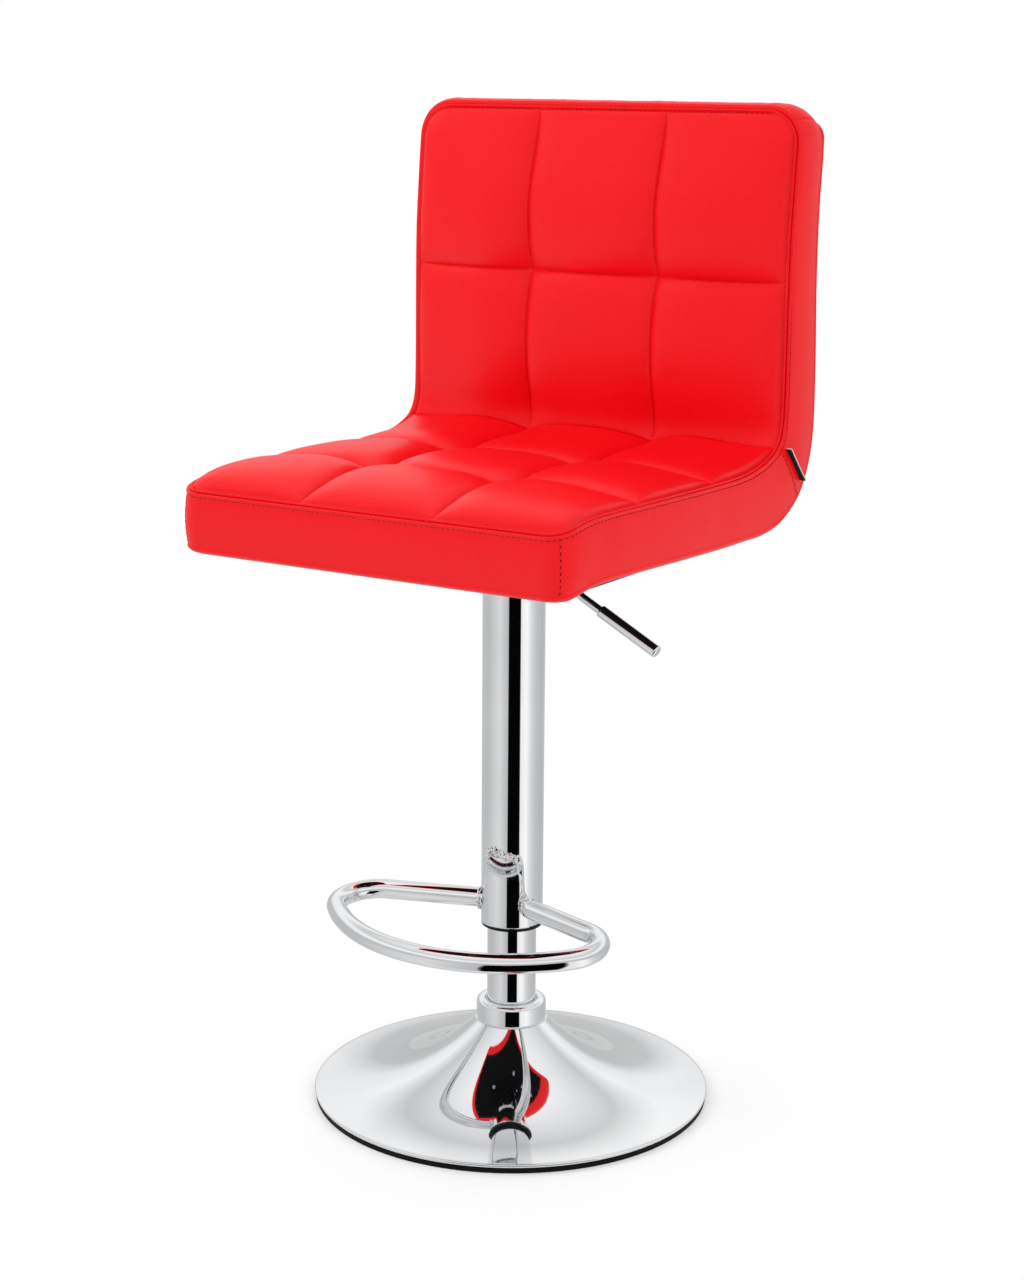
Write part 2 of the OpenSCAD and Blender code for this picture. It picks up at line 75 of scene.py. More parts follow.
def add_camera():
    back = Vector((math.sin(CAMERA_AZ) * math.cos(CAMERA_EL),
                   -math.cos(CAMERA_AZ) * math.cos(CAMERA_EL), math.sin(CAMERA_EL)))
    right = Vector((math.cos(CAMERA_AZ), math.sin(CAMERA_AZ), 0))
    up = back.cross(right)
    c, s = math.cos(CAMERA_ROLL), math.sin(CAMERA_ROLL)
    x_axis = right * c + up * s
    y_axis = up * c - right * s
    place = right * CAMERA_TARGET[0] + Vector((0, 0, CAMERA_TARGET[1])) + back * CAMERA_DIST
    data = bpy.data.cameras.new("camera")
    data.sensor_width = SENSOR
    data.lens = SENSOR * FOCAL_PX / max(FRAME_PX)
    data.clip_end = 100
    camera = new_object("camera", data)
    turn = Matrix((x_axis, y_axis, back)).transposed().to_4x4()
    camera.matrix_world = Matrix.Translation(place) @ turn
    bpy.context.scene.camera = camera


# ---------------------------------------------------------------- materials

def fill_ramp(node, stops):
    """Give a colour ramp its stops, each a place and a colour."""
    elements = node.color_ramp.elements
    while len(elements) < len(stops):
        elements.new(0.5)
    for element, (at, colour) in zip(elements, stops):
        element.position = at
        element.color = (*colour[:3], 1)


class Nodes:
    """A material's node tree, with short calls for what the materials below need."""

    def __init__(self, name):
        self.material = bpy.data.materials.new(name)
        self.material.use_nodes = True
        self.tree = self.material.node_tree
        self.shader = self.tree.nodes["Principled BSDF"]
        self.where = self.add("ShaderNodeTexCoord").outputs["Object"]

    def add(self, kind, **values):
        node = self.tree.nodes.new(kind)
        for key, value in values.items():
            if key in node.inputs:
                node.inputs[key].default_value = value
            else:
                setattr(node, key, value)
        return node

    def link(self, a, b):
        self.tree.links.new(a, b)

    def set(self, **values):
        for key, value in values.items():
            self.shader.inputs[key.replace("_", " ")].default_value = value

    def noise(self, scale, detail=2.0, stretch=None):
        node = self.add("ShaderNodeTexNoise", Scale=scale, Detail=detail)
        self.link(self.stretched(stretch), node.inputs["Vector"])
        return node.outputs["Fac"]

    def cells(self, scale, feature="F1", stretch=None):
        node = self.add("ShaderNodeTexVoronoi", Scale=scale, feature=feature)
        self.link(self.stretched(stretch), node.inputs["Vector"])
        return node.outputs["Distance"]

    def stretched(self, stretch):
        if not stretch:
            return self.where
        node = self.add("ShaderNodeMapping")
        node.inputs["Scale"].default_value = stretch
        self.link(self.where, node.inputs["Vector"])
        return node.outputs["Vector"]

    def ramp(self, fac, stops):
        node = self.add("ShaderNodeValToRGB")
        fill_ramp(node, stops)
        self.link(fac, node.inputs["Fac"])
        return node.outputs["Color"]

    def sum(self, a, b, kind="ADD"):
        node = self.add("ShaderNodeMath", operation=kind)
        for socket, value in zip(node.inputs, (a, b)):
            if isinstance(value, (int, float)):
                socket.default_value = value
            else:
                self.link(value, socket)
        return node.outputs["Value"]

    def bump(self, height, strength, depth):
        node = self.add("ShaderNodeBump")
        node.inputs["Strength"].default_value = strength
        node.inputs["Distance"].default_value = depth
        self.link(height, node.inputs["Height"])
        self.link(node.outputs["Normal"], self.shader.inputs["Normal"])

    def finish(self, fac, stops, gloss, rough, height, strength, depth):
        """The colour follows fac, the roughness gloss between two values, and the bump height."""
        self.link(self.ramp(fac, stops), self.shader.inputs["Base Color"])
        node = self.add("ShaderNodeMapRange")
        node.inputs["To Min"].default_value, node.inputs["To Max"].default_value = rough
        self.link(gloss, node.inputs["Value"])
        self.link(node.outputs["Result"], self.shader.inputs["Roughness"])
        self.bump(height, strength, depth)
        return self.material


def srgb(r, g, b):
    def linear(v):
        v /= 255
        return v / 12.92 if v <= 0.04045 else ((v + 0.055) / 1.055) ** 2.4
    return (linear(r), linear(g), linear(b), 1)


def metal(name, colour, rough, grain=900, depth=0.00002, stretch=None, spots=0.0):
    """A metal with a fine grain and a little uneven gloss; spots darkens it in patches."""
    m = Nodes(name)
    m.set(Metallic=1.0, IOR=2.5)
    dark = [v * (1 - spots) for v in colour[:3]]
    return m.finish(m.noise(26, 4), [(0.3, dark), (0.7, colour)], m.noise(180, 3), rough,
                    m.noise(grain, 3, stretch), 0.25, depth)


def chrome(name="chrome_plate"):
    """Bright chrome plate: almost a mirror, with faint buffing marks and fine dust in the gloss."""
    m = Nodes(name)
    m.set(Metallic=1.0, IOR=2.8)
    return m.finish(m.noise(9, 2), [(0.3, srgb(226, 228, 230)), (0.7, srgb(238, 239, 240))],
                    m.noise(420, 4), (0.018, 0.055), m.noise(38, 2), 0.10, 0.00015)


def plastic(name, colour, rough=(0.35, 0.5), grain=1400, depth=0.00004, shine=0.5):
    """Moulded plastic or rubber: a fine spark-eroded grain and slightly uneven gloss."""
    m = Nodes(name)
    m.set(Specular_IOR_Level=shine)
    lighter = [min(1, v * 1.25 + 0.001) for v in colour[:3]]
    return m.finish(m.noise(60, 3), [(0.35, colour), (0.7, lighter)], m.noise(240, 3), rough,
                    m.sum(m.noise(grain, 2), m.cells(grain * 0.5)), 0.3, depth)


def leather():
    """Red artificial leather: pebbled grain with fine creases, a soft sheen and slight colour drift."""
    m = Nodes("red_leather_skin")
    m.set(IOR=1.45, Specular_IOR_Level=0.27)
    drift = m.sum(m.noise(7, 3), m.noise(160, 2), "MULTIPLY")
    grain, creases = m.cells(1500, "SMOOTH_F1"), m.noise(520, 5)
    return m.finish(drift, [(0.10, srgb(238, 7, 17)), (0.45, srgb(243, 9, 20))], m.noise(90, 4), (0.34, 0.40),
                    m.sum(grain, creases), 0.35, 0.00006)


def thread():
    """Twisted polyester thread, a shade deeper than the leather."""
    m = Nodes("red_thread_twist")
    return m.finish(m.noise(2600, 2), [(0.3, srgb(206, 6, 15)), (0.7, srgb(238, 9, 20))],
                    m.noise(900, 2), (0.5, 0.65), m.noise(3000, 1, (1, 1, 4)), 0.5, 0.0001)


def woven(name, colour, pale, scale=1800, depth=0.00012, shine=0.3):
    """A fine plain weave: two crossed sets of threads, with lint in the colour."""
    m = Nodes(name)
    m.set(Specular_IOR_Level=shine)
    sets = []
    for direction in ("X", "Y"):
        wave = m.add("ShaderNodeTexWave", Scale=scale / 4, Distortion=0.6, bands_direction=direction)
        m.link(m.where, wave.inputs["Vector"])
        sets.append(wave.outputs["Fac"])
    weave = m.sum(sets[0], sets[1], "MAXIMUM")
    lint = m.sum(weave, m.noise(300, 4), "MULTIPLY")
    return m.finish(lint, [(0.15, colour), (0.75, pale)], m.noise(200, 2), (0.75, 0.92), weave, 0.6, depth)


def foam():
    m = Nodes("open_cell_foam")
    return m.finish(m.cells(900), [(0.0, srgb(196, 176, 120)), (0.6, srgb(236, 224, 178))],
                    m.noise(400, 2), (0.85, 0.95), m.cells(900), 0.9, 0.0006)


def plywood():
    m = Nodes("birch_plywood")
    grain = m.noise(60, 6, (1, 0.06, 1))
    return m.finish(grain, [(0.3, srgb(196, 158, 108)), (0.7, srgb(226, 196, 148))],
                    grain, (0.55, 0.7), grain, 0.4, 0.0003)


def paper():
    """The studio floor: white paper near the object, fading into the white of the backdrop."""
    m = Nodes("studio_floor")
    m.set(Roughness=0.9, Base_Color=srgb(250, 250, 250))
    m.bump(m.noise(300, 4), 0.05, 0.0002)
    glow = m.add("ShaderNodeEmission", Color=(1, 1, 1, 1), Strength=1.0)
    away = m.add("ShaderNodeVectorMath", operation="LENGTH")
    m.link(m.where, away.inputs[0])
    fade = m.add("ShaderNodeMapRange", interpolation_type="SMOOTHSTEP")
    fade.inputs["From Min"].default_value = 0.12
    fade.inputs["From Max"].default_value = 0.32
    m.link(away.outputs["Value"], fade.inputs["Value"])
    mix = m.add("ShaderNodeMixShader")
    m.link(fade.outputs["Result"], mix.inputs["Fac"])
    m.link(m.shader.outputs["BSDF"], mix.inputs[1])
    m.link(glow.outputs["Emission"], mix.inputs[2])
    m.link(mix.outputs["Shader"], m.tree.nodes["Material Output"].inputs["Surface"])
    return m.material


def make_materials():
    return {
        "floor_rubber": plastic("floor_rubber_black", srgb(8, 8, 8), (0.55, 0.7), shine=0.12),
        "chrome": chrome(),
        "ballast_iron": metal("cast_ballast_iron", srgb(70, 70, 72), (0.55, 0.75), 300, 0.0003, spots=0.4),
        "mild_steel": metal("mild_steel_turned", srgb(150, 150, 152), (0.3, 0.45), 700, stretch=(1, 1, 12)),
        "bright_steel": metal("bright_ground_steel", srgb(205, 206, 208), (0.12, 0.22), 900, stretch=(1, 1, 8)),
        "zinc_plated": metal("zinc_plate", srgb(188, 194, 202), (0.22, 0.38), 500, spots=0.12),
        "cage_brass": metal("stamped_brass", srgb(214, 172, 92), (0.2, 0.32), 600, spots=0.2),
        "natural_acetal": plastic("natural_acetal", srgb(226, 222, 208), (0.3, 0.42)),
        "black_rubber": plastic("black_rubber", srgb(14, 14, 14), (0.6, 0.75), shine=0.2),
        "black_paint": metal("black_stove_paint", srgb(24, 24, 25), (0.32, 0.46), 1100, 0.00005, spots=0.2),
        "black_plastic": plastic("black_plastic", srgb(7, 7, 7), (0.3, 0.42), shine=0.2),
        "lever_grip_chrome": chrome("grip_chrome"),
        "birch_ply": plywood(),
        "foam": foam(),
        "red_leather": leather(),
        "dust_cloth": woven("black_dust_cloth", srgb(6, 6, 7), srgb(20, 20, 21), 2400, shine=0.1),
        "tag_fabric": woven("tag_weave", srgb(14, 14, 15), srgb(30, 30, 32), 5200, 0.00005),
        "tag_lining": woven("tag_lining_weave", srgb(205, 212, 212), srgb(240, 243, 243), 5200, 0.00005),
    }


MATERIALS = make_materials()


def finish_nodes():
    """Each CAD node gets the finish that the record names for it."""
    slot_of = {s["node"]: s["material_slot"] for s in frame["record"]["subparts"]}
    for name, obj in nodes.items():
        for place in obj.material_slots:
            place.material = MATERIALS[slot_of[name]]


# ---------------------------------------------------------------- mesh helpers

def mesh_piece(name, points, faces, slot, body="carriage", replaces=(), material=None):
    """A new piece from points in millimetres, riding on a CAD body, in the slot's own material unless one is given."""
    mesh = bpy.data.meshes.new(name)
    mesh.from_pydata([tuple(p) for p in np.asarray(points, float) * MM], [], faces)
    mesh.polygons.foreach_set("use_smooth", [True] * len(mesh.polygons))
    mesh.materials.append(material or MATERIALS[slot])
    mesh.update()
    obj = new_object(name, mesh)
    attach(obj, body)
    if replaces:
        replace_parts(obj, *replaces)
    return obj


def grid_faces(rows, cols, start=0, wrap=False, flip=False):
    faces = []
    last = cols if wrap else cols - 1
    for i in range(rows - 1):
        for j in range(last):
            k = (j + 1) % cols
            a, b = start + i * cols + j, start + i * cols + k
            c, d = b + cols, a + cols
            faces.append((a, d, c, b) if flip else (a, b, c, d))
    return faces


def skin_faces(rows, cols, start=0, flip=False):
    """Faces of a closed skin: a grid, the same grid below it, and the strip round their edges."""
    n = rows * cols
    faces = grid_faces(rows, cols, start, flip=flip) + grid_faces(rows, cols, start + n, flip=not flip)
    edge = ([(0, j) for j in range(cols)] + [(i, cols - 1) for i in range(1, rows)]
            + [(rows - 1, j) for j in range(cols - 2, -1, -1)] + [(i, 0) for i in range(rows - 2, 0, -1)])
    ring = [start + i * cols + j for i, j in edge]
    for a, b in zip(ring, ring[1:] + ring[:1]):
        faces.append((a, b, b + n, a + n) if flip else (b, a, a + n, b + n))
    return faces


def sheet_piece(name, grid, thick, slot, replaces=(), flip=False, material=None):
    """A closed skin from a grid of surface points: the grid itself and a copy thick mm below it."""
    below = grid - thick * grid_normals(grid, flip)
    points = np.vstack((grid.reshape(-1, 3), below.reshape(-1, 3)))
    faces = skin_faces(*grid.shape[:2], flip=flip)
    return mesh_piece(name, points, faces, slot, replaces=replaces, material=material)


def grid_normals(grid, flip=False):
    du = np.gradient(grid, axis=1)
    dv = np.gradient(grid, axis=0)
    normal = np.cross(du, dv)
    normal /= np.linalg.norm(normal, axis=2, keepdims=True) + 1e-12
    return -normal if flip else normal


def lathe(name, rows, segments, replaces):
    """A turned chrome piece of the base from a closed profile of (radius, height) points."""
    turn = np.linspace(0, 2 * math.pi, segments, endpoint=False)
    points = np.stack((np.outer(rows[:, 0], np.cos(turn)), np.outer(rows[:, 0], np.sin(turn)),
                       np.repeat(rows[:, 1:2], segments, 1)), axis=2)
    faces = grid_faces(len(rows), segments, wrap=True)
    last = (len(rows) - 1) * segments
    for j in range(segments):
        k = (j + 1) % segments
        faces.append((last + j, last + k, k, j))
    crease(mesh_piece(name, points.reshape(-1, 3), faces, "chrome", "base", replaces), 35)


def crease(obj, degrees):
    """Shade smooth, with sharp edges where the faces turn by more than this."""
    bm = bmesh.new()
    bm.from_mesh(obj.data)
    bmesh.ops.recalc_face_normals(bm, faces=bm.faces)
    limit = math.radians(degrees)
    for edge in bm.edges:
        edge.smooth = len(edge.link_faces) == 2 and edge.calc_face_angle(0) < limit
    bm.to_mesh(obj.data)
    bm.free()


# ---------------------------------------------------------------- shape of the upholstery

# The side of the upholstery: each point of the inner edge, with the point of the outer edge it faces
SIDE_VIEW = [
    ((-245, 617), (-244, 559)), ((-222, 623), (-224, 561)), ((-190, 627), (-190, 566)),
    ((-122, 627.5), (-115, 566.5)), ((12, 626), (12, 563.6)), ((62, 627), (70, 563.2)),
    ((90, 631), (108, 563.4)), ((112, 637), (143, 570)), ((129, 646), (176, 589)),
    ((137.5, 662), (195, 616)), ((139.5, 690), (204.5, 652)), ((140, 733), (205, 715)),
    ((140.3, 790), (201.5, 785)), ((141.5, 834), (201, 834)), ((144.5, 871), (202.5, 871)),
    ((148, 907), (206, 907)), ((153, 953), (207, 936)),
]
CLOTH_Z = 563                       # height of the black cloth under the seat
HALF_BACK = 209
HALF_FRONT = 201
FRONT_ROUND = 20                    # radius of the front corners in plan, at the seam
TOP_ROUND = 33                      # radius of the top corners of the back, at the seam
REAR_ROUND = 24                     # radius of the top corners at the rear
RIM = 8                             # radius of the lower and rear edge
MARGIN = 5                          # from the seam to its line of stitches
COLUMN = 70                         # where the quilting seams run
SEAT_ROWS = (-122, 12)
BACK_ROW = 795
CREASE_AT = 7.9                     # place of the crease between seat and back along SIDE_VIEW


def spline(points, count):
    """count points for each stretch of a Catmull-Rom curve through the given points."""
    p = np.asarray(points, float)
    p = np.vstack((2 * p[0] - p[1], p, 2 * p[-1] - p[-2]))
    t = np.linspace(0, 1, count, endpoint=False)[:, None]
    parts = []
    for a, b, c, d in zip(p, p[1:], p[2:], p[3:]):
        parts.append(0.5 * (2 * b + (c - a) * t + (2 * a - 5 * b + 4 * c - d) * t ** 2
                            + (3 * b - a - 3 * c + d) * t ** 3))
    return np.vstack(parts + [p[-2:-1]])


def lengths(path):
    """The length along a path up to each of its points."""
    return np.concatenate(([0], np.cumsum(np.linalg.norm(np.diff(path, axis=0), axis=1))))


def between(at, length, rows):
    """Rows of numbers that belong to the lengths, read at other lengths."""
    return np.stack([np.interp(at, length, column) for column in rows.T], axis=-1)


class Side:
    """The inner and outer lines of the side view, read by the length s along the inner one."""

    def __init__(self):
        count = 40
        self.inner = spline([pair[0] for pair in SIDE_VIEW], count)
        self.outer = spline([pair[1] for pair in SIDE_VIEW], count)
        self.s = lengths(self.inner)
        self.length = self.s[-1]
        self.crease = self.s[int(CREASE_AT * count)]

    def read(self, line, s):
        return between(s, self.s, line)

    def tangent(self, line, s):
        d = self.read(line, np.clip(s + 2, 0, self.length)) - self.read(line, np.clip(s - 2, 0, self.length))
        return d / np.linalg.norm(d, axis=-1, keepdims=True)

    def at_y(self, y):
        return float(np.interp(y, self.inner[:260, 0], self.s[:260]))

    def at_z(self, z):
        return float(np.interp(z, self.inner[400:, 1], self.s[400:]))


side = Side()


def straight_width(s):
    """Half of the width before the corners are rounded."""
    y = np.minimum(s, 200)
    return HALF_FRONT + (HALF_BACK - HALF_FRONT) * np.sin(np.pi / 2 * y / 200)


def half_width(s, inset=0.0, top_round=TOP_ROUND):
    """Half of the width at s of the outline drawn inset mm inside the seam or the outer edge."""
    s = np.asarray(s, float)
    width = straight_width(s) - inset
    for radius, gap in ((FRONT_ROUND, s - inset), (top_round, side.length - s - inset)):
        r = radius - inset
        near = np.clip(gap, 0, r)
        width = width - (r - np.sqrt(np.maximum(r * r - (r - near) ** 2, 0)))
    return width


def border_distance(x, s):
    """Distance inside the seam of a point of the quilted side."""
    x = np.abs(x)
    w = straight_width(s)
    best = np.minimum(w - x, np.minimum(s, side.length - s))
    for radius, gap in ((FRONT_ROUND, s), (TOP_ROUND, side.length - s)):
        dx, ds = x - (w - radius), radius - gap
        corner = (dx > 0) & (ds > 0)
        best = np.where(corner, radius - np.hypot(dx, ds), best)
    return np.maximum(best, 0)


def graded(a, b, fine=0.7, step=5.0, growth=1.4):
    """Values from a to b, close together at both ends."""
    gaps, total = [], 0.0
    gap = fine
    while gap < step and 2 * (total + gap) < b - a:
        gaps.append(gap)
        total += gap
        gap *= growth
    middle = max(1, round((b - a - 2 * total) / step))
    all_gaps = gaps + [(b - a - 2 * total) / middle] * middle + gaps[::-1]
    return a + np.concatenate(([0], np.cumsum(all_gaps)))


def corner_rows(radius, count=13):
    """Distances from the end of a rounded corner, evenly round its turn."""
    return radius * (1 - np.cos(np.radians(np.linspace(0, 90, count))))


S_ROWS = [side.at_y(y) for y in SEAT_ROWS]
S_BACK_ROW = side.at_z(BACK_ROW)


def merged_rows(*lists):
    """The values of several lists in order, without near repeats."""
    values = np.sort(np.concatenate(lists))
    keep = [values[0]]
    for v in values[1:]:
        if v - keep[-1] > 0.35:
            keep.append(v)
    keep[-1] = values[-1]
    return np.array(keep)


SEAT_S = merged_rows(corner_rows(FRONT_ROUND), graded(0, S_ROWS[0]),
                     graded(S_ROWS[0], S_ROWS[1]), graded(S_ROWS[1], side.crease))
BACK_S = merged_rows(graded(side.crease, S_BACK_ROW), graded(S_BACK_ROW, side.length),
                     side.length - corner_rows(TOP_ROUND))
PANEL = 138                         # width of the pillows beside the middle column
OUTER_U = graded(0, 1, fine=0.7 / PANEL, step=5 / PANEL)


def columns(s):
    """x of each column of the grid at the rows s: fixed between the middle seams, scaled outside them."""
    middle = graded(-COLUMN, COLUMN)[1:-1]
    side_part = COLUMN + OUTER_U[None, :] * (half_width(s)[:, None] - COLUMN)
    mid = np.repeat(middle[None, :], len(s), 0)
    return np.hstack((-side_part[:, ::-1], mid, side_part))


SEAT_CROWN = 13.0                   # height of the pillows over the seams round them
BACK_CROWN = 10.5
PILLOW_POWER = 3.4                  # higher is flatter in the middle and steeper at the seams
SEAM_BOW = (7.0, 10.0)              # how far a seam bows up between two crossings: seat, back
NET_CROWN = -3.0                    # how far the crossings lie over the outer seam, across the seat
CREASE_DIP = 8.0                    # and how much deeper the crease pulls the middle in


def swell(a, power=2.5):
    return np.sqrt(np.clip(1 - np.abs(np.clip(a, -1, 1)) ** power, 0, 1))


def smooth(t):
    t = np.clip(t, 0, 1)
    return t * t * (3 - 2 * t)


def unit(v, low, high):
    return 2 * (v - low) / (high - low) - 1


WAVES = [(rng.uniform(5.5, 17.0), rng.uniform(0, 2 * math.pi), rng.uniform(0.4, 1.0)) for _ in range(9)]


def ripple(t, shift=0.0):
    """A smooth uneven wave along a seam, about -1 to 1."""
    return sum(k * np.sin(2 * math.pi * (t + shift) / wave + phase) for wave, phase, k in WAVES) / 3


def quilt_height(x, s):
    """Height of the quilted side above the surface through its outer seam, without the seam's own lip."""
    edge = half_width(np.maximum(s, MARGIN), MARGIN)
    outer = np.where(x > 0, unit(x, COLUMN, edge), unit(x, -edge, -COLUMN))
    a = np.where(np.abs(x) < COLUMN, x / COLUMN, outer)
    seat = s < side.crease
    cuts = [MARGIN, *S_ROWS, side.crease, S_BACK_ROW, side.length - MARGIN]
    b = np.full(s.shape, 1.0)
    for low, high in zip(cuts, cuts[1:]):
        b = np.where((s >= low) & (s <= high), unit(s, low, high), b)
    # the pillows of the rear seat row stay full up to the crease, where they press on the back
    rear_row = (s > S_ROWS[1]) & seat
    across = np.where(rear_row & (b > 0), swell(b, 9.0), swell(b, PILLOW_POWER))
    crown = np.where(seat, SEAT_CROWN, BACK_CROWN)
    pillow = crown * swell(a, PILLOW_POWER) * across
    # the seams bow up between the points where they cross, and lie flat at the outer seam
    ease = 95.0
    inside_x = smooth((straight_width(s) - MARGIN - np.abs(x)) / ease)
    inside_s = smooth((s - MARGIN) / ease) * smooth((side.length - MARGIN - s) / ease)
    open_a, open_b = 1 - np.clip(np.abs(a), 0, 1) ** 2, 1 - np.clip(np.abs(b), 0, 1) ** 2
    seam_bow = np.where(seat, *SEAM_BOW) * inside_x * inside_s * (open_a + open_b - open_a * open_b)
    bow = swell(x / HALF_BACK, 2.0)
    rise = swell(np.clip(1 - s / 120, 0, 1), 2.0)
    fall = smooth((side.crease - s) / 60 + 0.5)
    dip = CREASE_DIP * smooth(bow * 1.3) * np.exp(-((s - side.crease) / 50) ** 2)
    net = NET_CROWN * bow * rise * fall + seam_bow - dip
    # small puckers run away from every seam
    to_column = np.abs(np.abs(x) - COLUMN)
    to_row = np.min([np.abs(s - c) for c in cuts[1:-1]], axis=0)
    border = np.maximum(border_distance(x, s) - MARGIN, 0)
    pucker = (0.55 * ripple(s, 3) * np.exp(-to_column / 7) + 0.55 * ripple(x, 40) * np.exp(-to_row / 7)
              + 0.6 * ripple(x + s, 11) * np.exp(-border / 8))
    return net + pillow + pucker * np.clip(pillow / 6, 0, 1)


SEAM_DEPTH = 1.5


def lip(d):
    """Height of the sewn edge at distance d from the seam: the fold beside it and the sunk stitch line."""
    return 1.3 * np.exp(-((d - 2.3) / 1.1) ** 2) - sunk(d) - 0.9 * np.exp(-((d - MARGIN) / 0.8) ** 2)


def sunk(d):
    """How far the leather is drawn in at the seam itself; both of its sides end that deep."""
    return SEAM_DEPTH * np.exp(-(d / 0.9) ** 2)


def quilt_points(x, s, extra=0.0):
    """Points of the quilted side at x and s, extra mm above its surface."""
    d = border_distance(x, s)
    height = quilt_height(x, s) + lip(d) + extra
    yz = side.read(side.inner, s)
    tangent = side.tangent(side.inner, s)
    normal = np.stack((-tangent[..., 1], tangent[..., 0]), axis=-1)
    step = 0.05
    out_x = border_distance(x - step, s) - border_distance(x + step, s)
    out_s = border_distance(x, s - step) - border_distance(x, s + step)
    size = np.hypot(out_x, out_s) + 1e-9
    place = yz + normal * height[..., None] - tangent * (sunk(d) * out_s / size)[..., None]
    return np.concatenate(((x - sunk(d) * out_x / size)[..., None], place), axis=-1)


def quilt_grid(s):
    x = columns(s)
    return quilt_points(x, np.repeat(s[:, None], x.shape[1], 1))


# ---------------------------------------------------------------- bands

SKIN = 1.2                          # thickness of the leather
QUILT_SKIN = 3.0                    # and with the wadding it is quilted to
REAR_CROWN = 2.6                    # how far the rear swells out
BAND = 54                           # usual width of a band
BULGE = 3.2                         # how far the bands swell out at the sides
TOP_BULGE = 11.0                    # and over the top of the back


def rear_corner(x, s, out_x, out_s):
    """The points of the outer edge that face the seam points: the same line, with a tighter top corner."""
    tighten = TOP_ROUND - REAR_ROUND
    left = side.length - s
    x2, s2 = x.copy(), s.copy()
    in_corner = (out_s > 0) & (out_x > 1e-6)
    x2[in_corner] += tighten * (1 - out_x[in_corner])
    s2[in_corner] += tighten * (1 - out_s[in_corner])
    ease = 60.0                     # the straight stretch over which the points close up
    along = (out_s <= 0) & (left < TOP_ROUND + ease)
    s2[along] += tighten * ((TOP_ROUND + ease - left[along]) / ease) ** 2
    limit = HALF_BACK - TOP_ROUND
    across = (out_s >= 1) & (x > limit - ease)
    x2[across] += tighten * ((x[across] - limit + ease) / ease) ** 2
    return x2, np.minimum(s2, side.length)


def band_rows(x, s, out_x, out_s, samples=None):
    """Points across the band from the seam points (x, s) to the lower edge, along the outward direction."""
    x2, s2 = rear_corner(x, s, out_x, out_s)
    inner, outer = side.read(side.inner, s), side.read(side.outer, s2)
    t_in, t_out = side.tangent(side.inner, s), side.tangent(side.outer, s2)
    top = np.concatenate((x[:, None], inner), axis=1)
    foot = np.concatenate((x2[:, None], outer), axis=1)
    out = np.concatenate((out_x[:, None], out_s[:, None] * t_in), axis=1)
    out_low = np.concatenate((out_x[:, None], out_s[:, None] * t_out), axis=1)
    length = np.linalg.norm(foot - top, axis=1)
    down = (foot - top) / length[:, None]
    share = graded(0, 1, fine=0.7 / BAND, step=6.0 / BAND) if samples is None else samples
    turn = np.radians(np.linspace(0, 90, 9)[1:]) if samples is None else []
    along = np.cumsum(np.linalg.norm(np.diff(top, axis=0, prepend=top[:1]), axis=1))
    bulge = BULGE + (TOP_BULGE - BULGE) * smooth(out_s)
    rows = []
    for w in share:
        d = w * (length - RIM)
        puff = bulge * np.sin(np.pi * np.clip(d / (length - RIM * 0.5), 0, 1)) ** 0.8
        wave = (0.22 * ripple(along * 0.6, 5) * np.exp(-((d - 11) / 7) ** 2)
                + 0.3 * ripple(along * 0.12, 60) * np.sin(np.pi * w))
        inward = np.cross(out, np.gradient(top, axis=0))
        inward /= np.linalg.norm(inward, axis=1, keepdims=True) + 1e-9
        inward *= np.sign(np.sum(inward * down, axis=1, keepdims=True))
        rows.append(top + down * d[:, None] + out * (puff + wave + lip(d))[:, None] + inward * sunk(d)[:, None])
    for a in turn:
        d = length - RIM + RIM * math.sin(a)
        puff = bulge * np.sin(np.pi * np.clip(d / (length + RIM * 0.5), 0, 1)) ** 0.8
        end = out * math.cos(a) + out_low * (1 - math.cos(a))
        rows.append(top + down * d[:, None] + out * puff[:, None] * math.cos(a) - end * (RIM * (1 - math.cos(a))))
    return np.stack(rows)


def seam_loop(s_values):
    """The seam from the middle of the front, round the right side, to the middle of the top.

    It gives x, s and the outward direction at each point.
    """
    front_x = columns(np.array([0.0]))[0]
    front_x = front_x[front_x >= 0]
    top_x = columns(np.array([side.length]))[0]
    top_x = top_x[top_x >= 0][::-1]
    sides = s_values[(s_values > 0) & (s_values < side.length)]
    x = np.concatenate((front_x, half_width(sides), top_x))
    s = np.concatenate((np.zeros(len(front_x)), sides, np.full(len(top_x), side.length)))
    out = []
    for px, ps in zip(x, s):
        w = straight_width(ps)
        nx, ns = 1.0, 0.0
        for radius, gap, sign in ((FRONT_ROUND, ps, -1), (TOP_ROUND, side.length - ps, 1)):
            if gap < radius:
                dx, ds = max(px - (w - radius), 0), radius - gap
                size = math.hypot(dx, ds)
                nx, ns = dx / size, sign * ds / size
        out.append((nx, ns))
    out = np.array(out)
    return x, s, out[:, 0], out[:, 1]


LOOP_S = merged_rows(SEAT_S, BACK_S)
FRONT_SEAM = 0.42                   # share of the corner's turn that belongs to the front band


def loop_cuts(loop):
    """Where the loop passes from the front band to the side, past the mitre, and to the top band."""
    _, s, out_x, out_s = loop
    angle = np.degrees(np.arctan2(out_x, -out_s))
    front_end = int(np.argmax(angle > 90 * FRONT_SEAM))
    mitre = int(np.argmax(s >= side.crease))
    top = int(np.argmax(angle > 130))
    return front_end, mitre, top


def mirrored(grid):
    flipped = grid.copy()
    flipped[..., 0] *= -1
    return flipped


